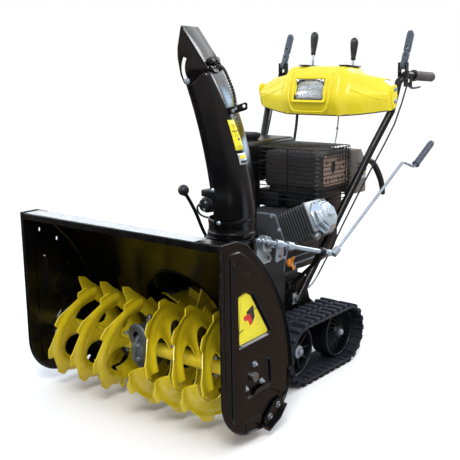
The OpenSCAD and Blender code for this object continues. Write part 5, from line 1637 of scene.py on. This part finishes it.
def dash_profile(x):
    """The dash's section at x as points from the front's foot over the brow to the rear edge."""
    a = abs(x)
    bulge = 1 - smooth((a - 106) / 34.0)
    wing = max(0.0, a - 120) / 161.0
    nose = lerp(990 + 56 * wing ** 1.15, 968, bulge)
    top = lerp(963 - 31 * wing, 984, bulge)
    low = 811.5 + 20.5 * wing ** 1.4
    turn_in = smooth((a - 268) / 13.0)
    nose, top = nose + 10 * turn_in, top - 8 * turn_in
    line = [(nose + 24, low), (nose, low + 58), (nose + 24, top - 28), (nose + 62, top), (1132, top - 8)]
    out = [line[0]]
    for before, here, after, reach in zip(line, line[1:], line[2:], (26, 22, 30)):
        p, q = Vector(here), Vector(before)
        into = (q - p)
        away = Vector(after) - p
        s = p + into.normalized() * min(reach, into.length * 0.45)
        e = p + away.normalized() * min(reach, away.length * 0.45)
        for k in range(7):
            t = k / 6
            out.append(tuple(s * (1 - t) ** 2 + p * 2 * t * (1 - t) + e * t * t))
    out.append(line[-1])
    dense = []
    for p, q in zip(out, out[1:]):
        steps = max(1, int((Vector(q) - Vector(p)).length / 7))
        dense += [(lerp(p[0], q[0], k / steps), lerp(p[1], q[1], k / steps)) for k in range(steps)]
    return dense + [out[-1]]


def even(line, count):
    """The same line with count points spaced evenly along it."""
    run = [0.0]
    for p, q in zip(line, line[1:]):
        run.append(run[-1] + math.dist(p, q))
    out, k = [], 0
    for i in range(count):
        want = run[-1] * i / (count - 1)
        while k < len(run) - 2 and run[k + 1] < want:
            k += 1
        t = (want - run[k]) / (run[k + 1] - run[k])
        out.append((lerp(line[k][0], line[k + 1][0], t), lerp(line[k][1], line[k + 1][1], t)))
    return out


def make_dash():
    # moulded shell, open behind, with openings for the lamp, the levers and the tubes
    bm = bmesh.new()
    stations = sorted({float(x) for x in range(-280, 281, 7)} | {-281.5, 281.5})
    rows = [[bm.verts.new((x, y, z)) for y, z in even(dash_profile(x), 64)] for x in stations]
    skin(bm, rows, closed=False)
    gone = []
    for f in bm.faces:
        c = f.calc_center_median()
        lamp = abs(c.x) < 58 and 868 < c.z < 936 and c.y < 1012
        slot = c.z > 940 and any(abs(c.x - x) < 10.5 and y - 50 < c.y < y + 26
                                 for x, y in LEVER_PINS.values())
        notch = abs(c.x) > 240 and c.y > 1076
        if lamp or slot or notch:
            gone.append(f)
    bmesh.ops.delete(bm, geom=gone, context="FACES")
    shell = piece("dash_shell", bm, "dash_yellow", "root", ("dash",), sharp=60, outward=(0, -1, 0))
    thicken(shell, 3.0, -1.0)
    # raised frame round the lamp, in the plane of the front
    bm = bmesh.new()
    prism(bm, rounded(rect(-70, -14, 70, 80), 9), "z", -10, 3.0, (LAMP_EDGE[::-1],))
    bm.transform(face_frame())
    rib = [on_face(x, h, lift) for x, h, lift in ((-84, 92, -1), (-86, 60, 0.6), (-84, 0, 0.8),
                                                  (-76, -26, -7.5), (-66, -40, -11.5),
                                                  (-40, -44, -12.5), (40, -44, -12.5), (66, -40, -11.5),
                                                  (76, -26, -7.5),
                                                  (84, 0, 0.8), (86, 60, 0.6), (84, 92, -1))]
    tube(bm, bent(rib, 8), 3.4, 12)
    piece("lamp_surround", bm, "dash_yellow", bevel=1.0, segments=2)

    # pressed steps along the wings: they follow the shell just above its surface
    bm = bmesh.new()
    for share, size in ((0.40, 2.6), (0.56, 1.8)):
        line = []
        for k in range(20):
            x = lerp(142, 268, k / 19)
            y, z = even(dash_profile(x), 101)[int(100 * (share - 0.14 * k / 19))]
            line.append((x, y + 0.9, z))
        tube(bm, line, size, 10)
    piece("wing_steps", both(bm), "dash_yellow")

    # black lip along the bottom edge, end flanges and their bolts
    bm = bmesh.new()
    line = [(x, dash_profile(x)[0][0] + 2, dash_profile(x)[0][1] + 2) for x in range(-280, 281, 20)]
    tube(bm, line, 4.0, 12, flat=0.7)
    piece("dash_lip", bm, "black_plastic")
    bm = bmesh.new()
    prism(bm, rounded([(1052, 900), (1070, 834), (1092, 842), (1098, 880), (1092, 912), (1082, 920),
                       (1062, 916)], 8),
          "x", 279, 282.6)
    piece("dash_end_flanges", both(bm), "dash_yellow", bevel=1.0)
    bm = bmesh.new()
    for y, z in ((1078, 902), (1082, 862)):
        hex_bolt(bm, (282.4, y, z), (1, 0, 0), 5.6, 5)
    piece("dash_end_bolts", both(bm), "zinc", bevel=0.4)

    # rubber slots that the levers come through
    bm = bmesh.new()
    for x, y in LEVER_PINS.values():
        hole = rounded(rect(x - 6, y - 46, x + 6, y + 22), 4)
        edge = rounded(rect(x - 19, y - 62, x + 19, y + 36), 7)
        part = bmesh.new()
        prism(part, edge, "z", 0, 3.4, (hole[::-1],))
        for v in part.verts:
            v.co.z += lerp(983, 976, (v.co.y - 1040) / 95)
        stamp(bm, part)
    piece("lever_slots", bm, "black_plastic", bevel=0.8)


def make_lamp():
    """Rectangular lamp: faceted reflector, bulb and a thin lens in a dark rim."""
    bm = bmesh.new()
    cols, rows = 15, 9
    grid = []
    for j in range(rows):
        line = []
        for k in range(cols):
            x, z = lerp(-57, 57, k / (cols - 1)), lerp(867, 937, j / (rows - 1))
            bowl = 30 * (1 - min(1.0, ((x / 62) ** 2 + ((z - 902) / 42) ** 2)))
            line.append(bm.verts.new((x, 980 + bowl + (1.6 if (j + k) % 2 else -1.6), z)))
        grid.append(line)
    skin(bm, grid, closed=False)
    reflector = piece("lamp_reflector", bm, "reflector", "root", ("headlight",), sharp=12)
    thicken(reflector, 1.0, 1.0)
    bm = bmesh.new()
    lathe(bm, [(0, -16), (5, -15), (7, -11), (7, -4), (5, 0), (0, 0)], (0, 1004, 902), (0, 1, 0), 24)
    piece("lamp_bulb", bm, "silver_label")
    bm = bmesh.new()
    prism(bm, LAMP_EDGE, "z", -8, -1, (rounded(rect(-57, -1, 57, 67), 4)[::-1],))
    bm.transform(face_frame())
    piece("lamp_rim", bm, "black_plastic", bevel=0.7)
    bm = bmesh.new()
    rings = []
    for k in range(9):
        h = lerp(-1, 67, k / 8)
        rings.append([bm.verts.new((lerp(-57, 57, m / 12), h,
                                    -4.5 + 3 * math.sin(math.pi * k / 8) * math.sin(math.pi * m / 12)))
                      for m in range(13)])
    skin(bm, rings, closed=False)
    bm.transform(face_frame())
    lens = piece("lamp_lens", bm, "glass")
    thicken(lens, 2.0, -1.0)


def make_knob(name, node, pin, knob, top):
    """Gear-knob lever: flat stalk, collar and a knob with eight flutes that widens upwards."""
    pin, knob, top = Vector(pin), Vector(knob), Vector(top)
    d = (top - knob).normalized()
    bm = bmesh.new()
    lathe(bm, [(6.4, -5), (14, -5), (14, 5), (6.4, 5), (6.4, -5)], pin, (1, 0, 0), 28)
    tube(bm, [pin + (knob - pin).normalized() * 11, knob], 4.6, 14)
    piece(name + "_stalk", bm, "zinc", rides(node), (node,), bevel=0.3)
    bm = bmesh.new()
    length = (top - knob).length
    rows = []
    spin = Vector((0, 0, 1)).rotation_difference(d).to_matrix()
    for h, r, flute in ((-9, 6.5, 0), (-7, 8.5, 0), (0, 9, 0), (3, 8.6, 0.4), (length * 0.35, 10.6, 0.9),
                        (length * 0.7, 12.6, 1.2),
                        (length * 0.92, 13.8, 0.9), (length + 4, 13.2, 0.4), (length + 10, 10, 0),
                        (length + 13.5, 5, 0)):
        rows.append([bm.verts.new(knob + spin @ Vector((
            (r + flute * math.cos(8 * math.tau * k / 64)) * math.cos(math.tau * k / 64),
            (r + flute * math.cos(8 * math.tau * k / 64)) * math.sin(math.tau * k / 64), h)))
            for k in range(64)])
    skin(bm, rows)
    cap(bm, [rows[0]])
    cap(bm, [rows[-1]])
    piece(name + "_knob", bm, "knob", rides(node), sharp=60)


def make_clutch_lever(name, node, side):
    """Moulded paddle with a notched edge and two oval holes, and the boss it turns on."""
    pin = Vector((side * GRIP_X, 1184, 982))
    bm = bmesh.new()
    lathe(bm, [(5.4, -9), (13, -9), (14, -8), (14, 8), (13, 9), (5.4, 9), (5.4, -9)], pin, (1, 0, 0), 32)
    up = Vector((0, 40, 88)).normalized()
    out = Vector((0, -up.z, up.y))
    basis = Matrix.Translation(pin) @ Matrix((Vector((1, 0, 0)), up, out)).transposed().to_4x4()
    part = bmesh.new()
    outline = [(-10, 8), (10, 8), (11.5, 30), (11.5, 44), (9.5, 46), (9.5, 52), (12, 55), (12, 118),
               (8, 128), (-8, 128),
               (-12, 118), (-12, 55), (-9.5, 52), (-9.5, 46), (-11.5, 44), (-11.5, 30)]
    hole = [(4.5 * math.cos(math.tau * k / 20), 66 + 7 * math.sin(math.tau * k / 20)) for k in range(20)]
    small = circle((0, 36), 3.4, 16)
    prism(part, rounded(outline, 1.6, 3), "z", -5.5, 5.5, (hole[::-1], small[::-1]))
    for k in range(4):
        block(part, (-9, 84 + 9 * k, 4.5), (9, 87.5 + 9 * k, 7.0), 1.0)
    for v in part.verts:
        if v.co.y > 84:
            v.co.z += 0.0016 * (v.co.y - 84) ** 2
    stamp(bm, part, basis)
    piece(name, bm, "blue_plastic", rides(node), (node,), bevel=0.8)
    bm = bmesh.new()
    lathe(bm, [(0, -13), (7, -13), (8, -11), (5.2, -9.4), (5.2, 9.4), (8, 11), (7, 13), (0, 13)], pin,
          (1, 0, 0), 24)
    piece(name + "_pivot", bm, "zinc", bevel=0.3)


def make_grips():
    """Ribbed rubber grips with a collar at the inner end."""
    bm = bmesh.new()
    low, high = Vector((GRIP_X, 1196, 948)), Vector((GRIP_X, 1404, 936))
    d = (high - low).normalized()
    r = GRIP_R
    profile = [(r - 3.4, 66), (r + 3, 66), (r + 3.4, 67), (r + 3.4, 71), (r + 2, 72.6), (r - 0.8, 74)]
    for k in range(17):
        z = 76 + 7.6 * k
        profile += [(r - 1.6, z), (r - 0.2, z + 1.2), (r - 0.2, z + 5.4), (r - 1.6, z + 6.6)]
    profile += [(r, 207), (r, 212), (r - 2, 215.4), (r - 6, 216.2), (0, 216.2)]
    lathe(bm, profile, low, d, 40)
    piece("ribbed_grips", both(bm), "grip", "root", ("grips",), bevel=0.0, sharp=30)


def make_trigger(name, node, side):
    pin = Vector((side * GRIP_X, 1222, 914))
    bm = bmesh.new()
    lathe(bm, [(4.2, -7), (8, -7), (8, 7), (4.2, 7), (4.2, -7)], pin, (1, 0, 0), 24)
    route = bent([pin + Vector((0, 5, -4)), (side * GRIP_X, 1262, 900), (side * GRIP_X, 1318, 902)], 8)
    tube(bm, route, lambda t: 5.3 - 1.2 * t, 14, flat=0.8)
    piece(name, bm, "blue_plastic", rides(node), (node,), bevel=0.5)


def make_bars():
    soften("handlebar", "frame_black", 1.0)
    soften("lever_brackets", "frame_black", 1.0)
    soften("cables", "sheath", 0.4)
    # foot brackets with their nuts, and the rods that come down from the dash
    bm = bmesh.new()
    block(bm, (148, 646, 219), (158.5, 694, 223), 1.2)
    block(bm, (154, 650, 216), (157.6, 690, 254), 1.2)
    piece("bar_feet", both(bm), "zinc", bevel=0.0)
    bm = bmesh.new()
    for y, z in ((664, 240), (684, 230)):
        hex_bolt(bm, (157.4, y, z), (1, 0, 0), 7.5, 6)
    piece("bar_foot_nuts", both(bm), "zinc", bevel=0.4)
    bm = bmesh.new()
    tube(bm, bent([(-98, 1046, 816), (-100, 1040, 760), (-104, 1020, 660), (-106, 1004, 560)], 6), 5.2, 14)
    piece("dash_rod_black", bm, "black_plastic")
    bm = bmesh.new()
    tube(bm, bent([(84, 1040, 816), (78, 1036, 740), (72, 1024, 690)], 6), 2.6, 12)
    for z, y in ((808, 1039.6), (760, 1037)):
        lathe(bm, rect(2.4, 0, 5.4, 8), (84 - (808 - z) * 0.08, y, z), (0, 0, 1), 6)
    piece("dash_rod_silver", bm, "zinc", bevel=0.2)


def make_controls():
    make_dash()
    make_lamp()
    make_knob("speed", "speed_lever", (-60, 1084, 940), (-60, 1092, 1030), (-60, 1100, 1090))
    make_knob("deflector", "deflector_lever", (100, 1098, 940), (100, 1106, 1010), (100, 1112, 1066))
    for label, side in (("left", -1), ("right", 1)):
        make_clutch_lever("clutch_paddle_" + label, "clutch_lever_" + label, side)
        make_trigger("trigger_" + label, "steering_trigger_" + label, side)
    make_grips()
    make_bars()


# ---------------------------------------------------------------- tracks and wheels

FRONT_WHEEL, REAR_WHEEL = (547.0, 104.0), (790.0, 104.0)
WHEEL_R, BAND_T, LUG_H = 85.0, 9.0, 10.0
WHEEL_FACE = 246.0
BAND_IN, BAND_OUT = 160.0, 290.0
LUGS = 32
SPAN = REAR_WHEEL[0] - FRONT_WHEEL[0]
LOOP_R = WHEEL_R + 0.3 + BAND_T
LOOP = 2 * SPAN + math.tau * LOOP_R


def loop_at(s):
    """Centre of the turn and outward angle of the band, s along it from the front wheel's lowest point."""
    s %= LOOP
    half = math.pi * LOOP_R
    if s < SPAN:
        return (FRONT_WHEEL[0] + s, FRONT_WHEEL[1]), -90.0
    if s < SPAN + half:
        return REAR_WHEEL, -90.0 + math.degrees((s - SPAN) / LOOP_R)
    if s < 2 * SPAN + half:
        return (REAR_WHEEL[0] - (s - SPAN - half), REAR_WHEEL[1]), 90.0
    return FRONT_WHEEL, 90.0 + math.degrees((s - 2 * SPAN - half) / LOOP_R)


def loop_matrix(s):
    """Frame on the band: X across, Y along the band, Z outwards, origin at the wheels' pitch."""
    (y, z), turn = loop_at(s)
    a = math.radians(turn)
    out = Vector((0, math.cos(a), math.sin(a)))
    along = Vector((0, -math.sin(a), math.cos(a)))
    return Matrix.Translation(Vector((0, y, z))) @ Matrix((Vector((1, 0, 0)), along,
                                                           out)).transposed().to_4x4()


def make_track(name, s):
    bm = bmesh.new()
    section = [(BAND_IN, WHEEL_R + 0.6), (BAND_OUT - 2, WHEEL_R + 0.6), (BAND_OUT, WHEEL_R + 2),
               (BAND_OUT, LOOP_R - 3.5),
               (BAND_OUT - 2, LOOP_R - 1.4), (BAND_IN + 8, LOOP_R - 1.4),
               (BAND_IN + 6, LOOP_R), (BAND_IN, LOOP_R)]
    rows = []
    count = 132
    for k in range(count):
        m = loop_matrix(LOOP * k / count)
        rows.append([bm.verts.new(m @ Vector((s * x, 0, r))) for x, r in section])
    for low, high in zip(rows, rows[1:] + rows[:1]):
        bridge(bm, low, high, closed=True)
    # bars: two halves with a block between them, and narrow ribs on the inside
    top = LOOP_R + LUG_H - 0.8
    for k in range(LUGS):
        m = loop_matrix((k + 0.5) * LOOP / LUGS)
        for x0, x1, wide, high in ((BAND_IN + 5, BAND_IN + 54, 7.5, top), (BAND_IN + 60, BAND_IN + 70,
                                                                           10.5, top - 2.5),
                                   (BAND_IN + 76, BAND_OUT - 1.5, 7.5, top)):
            base = LOOP_R - 2.4
            rings = []
            for z, grow, cut in ((base, 1.6, 0.0), (high - 1.2, 0.0, 1.6), (high, -1.0, 2.8)):
                half = wide + grow
                rings.append([bm.verts.new(m @ Vector((s * x, y, z)))
                              for x, y in ((x0 + cut * 0.4, -half), (x1 - cut, -half), (x1 - cut, half),
                                           (x0 + cut * 0.4, half))])
            for low, high_ring in zip(rings, rings[1:]):
                bridge(bm, low, high_ring, closed=True)
            cap(bm, [rings[-1]])
        part = bmesh.new()
        block(part, (WHEEL_FACE + 5, -3.5, WHEEL_R - 3.5), (BAND_OUT - 3, 3.5, WHEEL_R + 2), 1.2)
        stamp(bm, part, m @ Matrix.Scale(-1, 4, (1, 0, 0)) if s < 0 else m)
    piece(name + "_band", bm, "rubber", rides(name), (name,), bevel=0.9, segments=1, sharp=30)


def wheel_body(centre, fins):
    """Wheel on the right-hand side: rim, web, hub, and ribs or curved fins."""
    bm = bmesh.new()
    y, z = centre
    x0, x1 = 190.5, WHEEL_FACE
    if fins:
        x1 += 6
    rim = [(WHEEL_R - 9, 0), (WHEEL_R - 1, 0), (WHEEL_R, 1), (WHEEL_R, x1 - x0 - 1.5), (WHEEL_R - 1.5,
                                                                                        x1 - x0),
           (WHEEL_R - 7, x1 - x0), (WHEEL_R - 9, x1 - x0 - 2), (WHEEL_R - 10, x1 - x0 - 20), (WHEEL_R - 9,
                                                                                              0)]
    lathe(bm, rim, (x0, y, z), (1, 0, 0), 72)
    hub = [(10.6, -26), (24, -26), (25, -24), (26, 3), (27, x1 - x0 - 8), (24, x1 - x0 - 4), (22, x1 - x0),
           (17, x1 - x0 + 2), (10.6, x1 - x0 + 2)]
    lathe(bm, hub, (x0, y, z), (1, 0, 0), 48)
    if fins:
        lathe(bm, [(24, 24), (WHEEL_R - 8, 24), (WHEEL_R - 8, 27), (24, 27), (24, 24)], (x0, y, z),
              (1, 0, 0), 64)
        for k in range(fins):
            a = math.tau * k / fins
            curve = []
            for t in (0, 0.25, 0.5, 0.75, 1):
                r, sweep = lerp(24, WHEEL_R - 8, t), a + 0.42 * t * t
                curve.append((r, sweep))
            left = [(y + r * math.cos(q - 1.5 / r), z + r * math.sin(q - 1.5 / r)) for r, q in curve]
            right = [(y + r * math.cos(q + 1.5 / r), z + r * math.sin(q + 1.5 / r)) for r, q in curve]
            prism(bm, left + right[::-1], "x", x0 + 26, x1 - 5)
    else:
        holes = []
        for k in range(10):
            a = 36 * k + 18
            pts = [(y + r * math.cos(math.radians(q)), z + r * math.sin(math.radians(q)))
                   for r, q in ((38, a - 7), (66, a - 11.5), (66, a + 11.5), (38, a + 7))]
            holes.append(rounded(pts, 4)[::-1])
        prism(bm, circle((y, z), WHEEL_R - 8, 60), "x", x0 + 20, x0 + 24, tuple(holes))
        for k in range(10):
            a = math.radians(36 * k)
            along, side = Vector((0, math.cos(a), math.sin(a))), Vector((0, -math.sin(a), math.cos(a)))
            outline = [(24, -3.6), (WHEEL_R - 8, -1.9), (WHEEL_R - 8, 1.9), (24, 3.6)]
            prism(bm, [(y + r * along.y + w * side.y, z + r * along.z + w * side.z) for r, w in outline],
                  "x", x0 + 22, x1 - 6)
    return bm


def hub_nut(centre):
    bm = bmesh.new()
    y, z = centre
    lathe(bm, [(10, 0), (20.5, 0), (21, 1), (20, 3.2), (14, 5.4), (10, 6)], (WHEEL_FACE + 2.2, y, z),
          (1, 0, 0), 40)
    hex_bolt(bm, (WHEEL_FACE + 7.6, y, z), (1, 0, 0), 11.0, 8.0, washer=False)
    tube(bm, [(WHEEL_FACE + 6, y, z), (WHEEL_FACE + 17.4, y, z)], 6.0, 20)
    return bm


def both(bm):
    """The same mesh with its mirror image on the other side of the machine."""
    twin = bmesh.new()
    stamp(twin, bm.copy())
    stamp(twin, bm, Matrix.Scale(-1, 4, (1, 0, 0)))
    return twin


def make_tracks():
    make_track("track_left", -1)
    make_track("track_right", 1)
    piece("front_wheel_pair", both(wheel_body(FRONT_WHEEL, 0)), "wheel", rides("front_wheels"),
          ("front_wheels",), bevel=0.8)
    piece("front_hub_nuts", both(hub_nut(FRONT_WHEEL)), "zinc", rides("track_frames"), bevel=0.3)
    axle = rides("drive_axle")
    piece("rear_wheel_pair", both(wheel_body(REAR_WHEEL, 20)), "wheel", axle, bevel=0.7)
    piece("rear_hub_nuts", both(hub_nut(REAR_WHEEL)), "zinc", axle, bevel=0.3)
    # axle, its chain wheel and the bushes that carry it
    bm = bmesh.new()
    y, z = REAR_WHEEL
    tube(bm, [(-WHEEL_FACE, y, z), (WHEEL_FACE, y, z)], 9.9, 28)
    for x in (-120, 120):
        lathe(bm, [(10.2, -3), (15, -3), (15.5, 0), (15, 3), (10.2, 3)], (x, y, z), (1, 0, 0), 28)
    teeth = [(y + r * math.cos(math.tau * q / 96), z + r * math.sin(math.tau * q / 96))
             for k in range(24) for q, r in ((4 * k, 50), (4 * k + 1, 50), (4 * k + 2, 45), (4 * k + 3, 45))]
    prism(bm, teeth, "x", -32, -28)
    piece("drive_axle_shaft", bm, "steel", axle, ("drive_axle",), bevel=0.2)
    soften("track_frames", "frame_black", 1.2, keep=lambda f: abs(f.calc_center_median().x) < 0.2495)


# ---------------------------------------------------------------- the rest of the CAD nodes, softened

REST = {
    "frame_black": ["tractor_frame"],
    "zinc": ["engine_pulley", "drive_pulley", "auger_idler", "drive_idler"],
    "casting": ["transmission"],
    "black_plastic": ["belt_cover"],
    "belt": ["auger_belt", "drive_belt"],
}


def soften_rest():
    for finish, nodes in REST.items():
        for node in nodes:
            soften(node, finish)


make_camera()
make_stage()
make_housing()
make_auger()
make_gearbox()
make_impeller()
make_chute()
make_deflector()
make_chute_cable()
make_chute_drive()
make_engine()
make_controls()
make_tracks()
soften_rest()
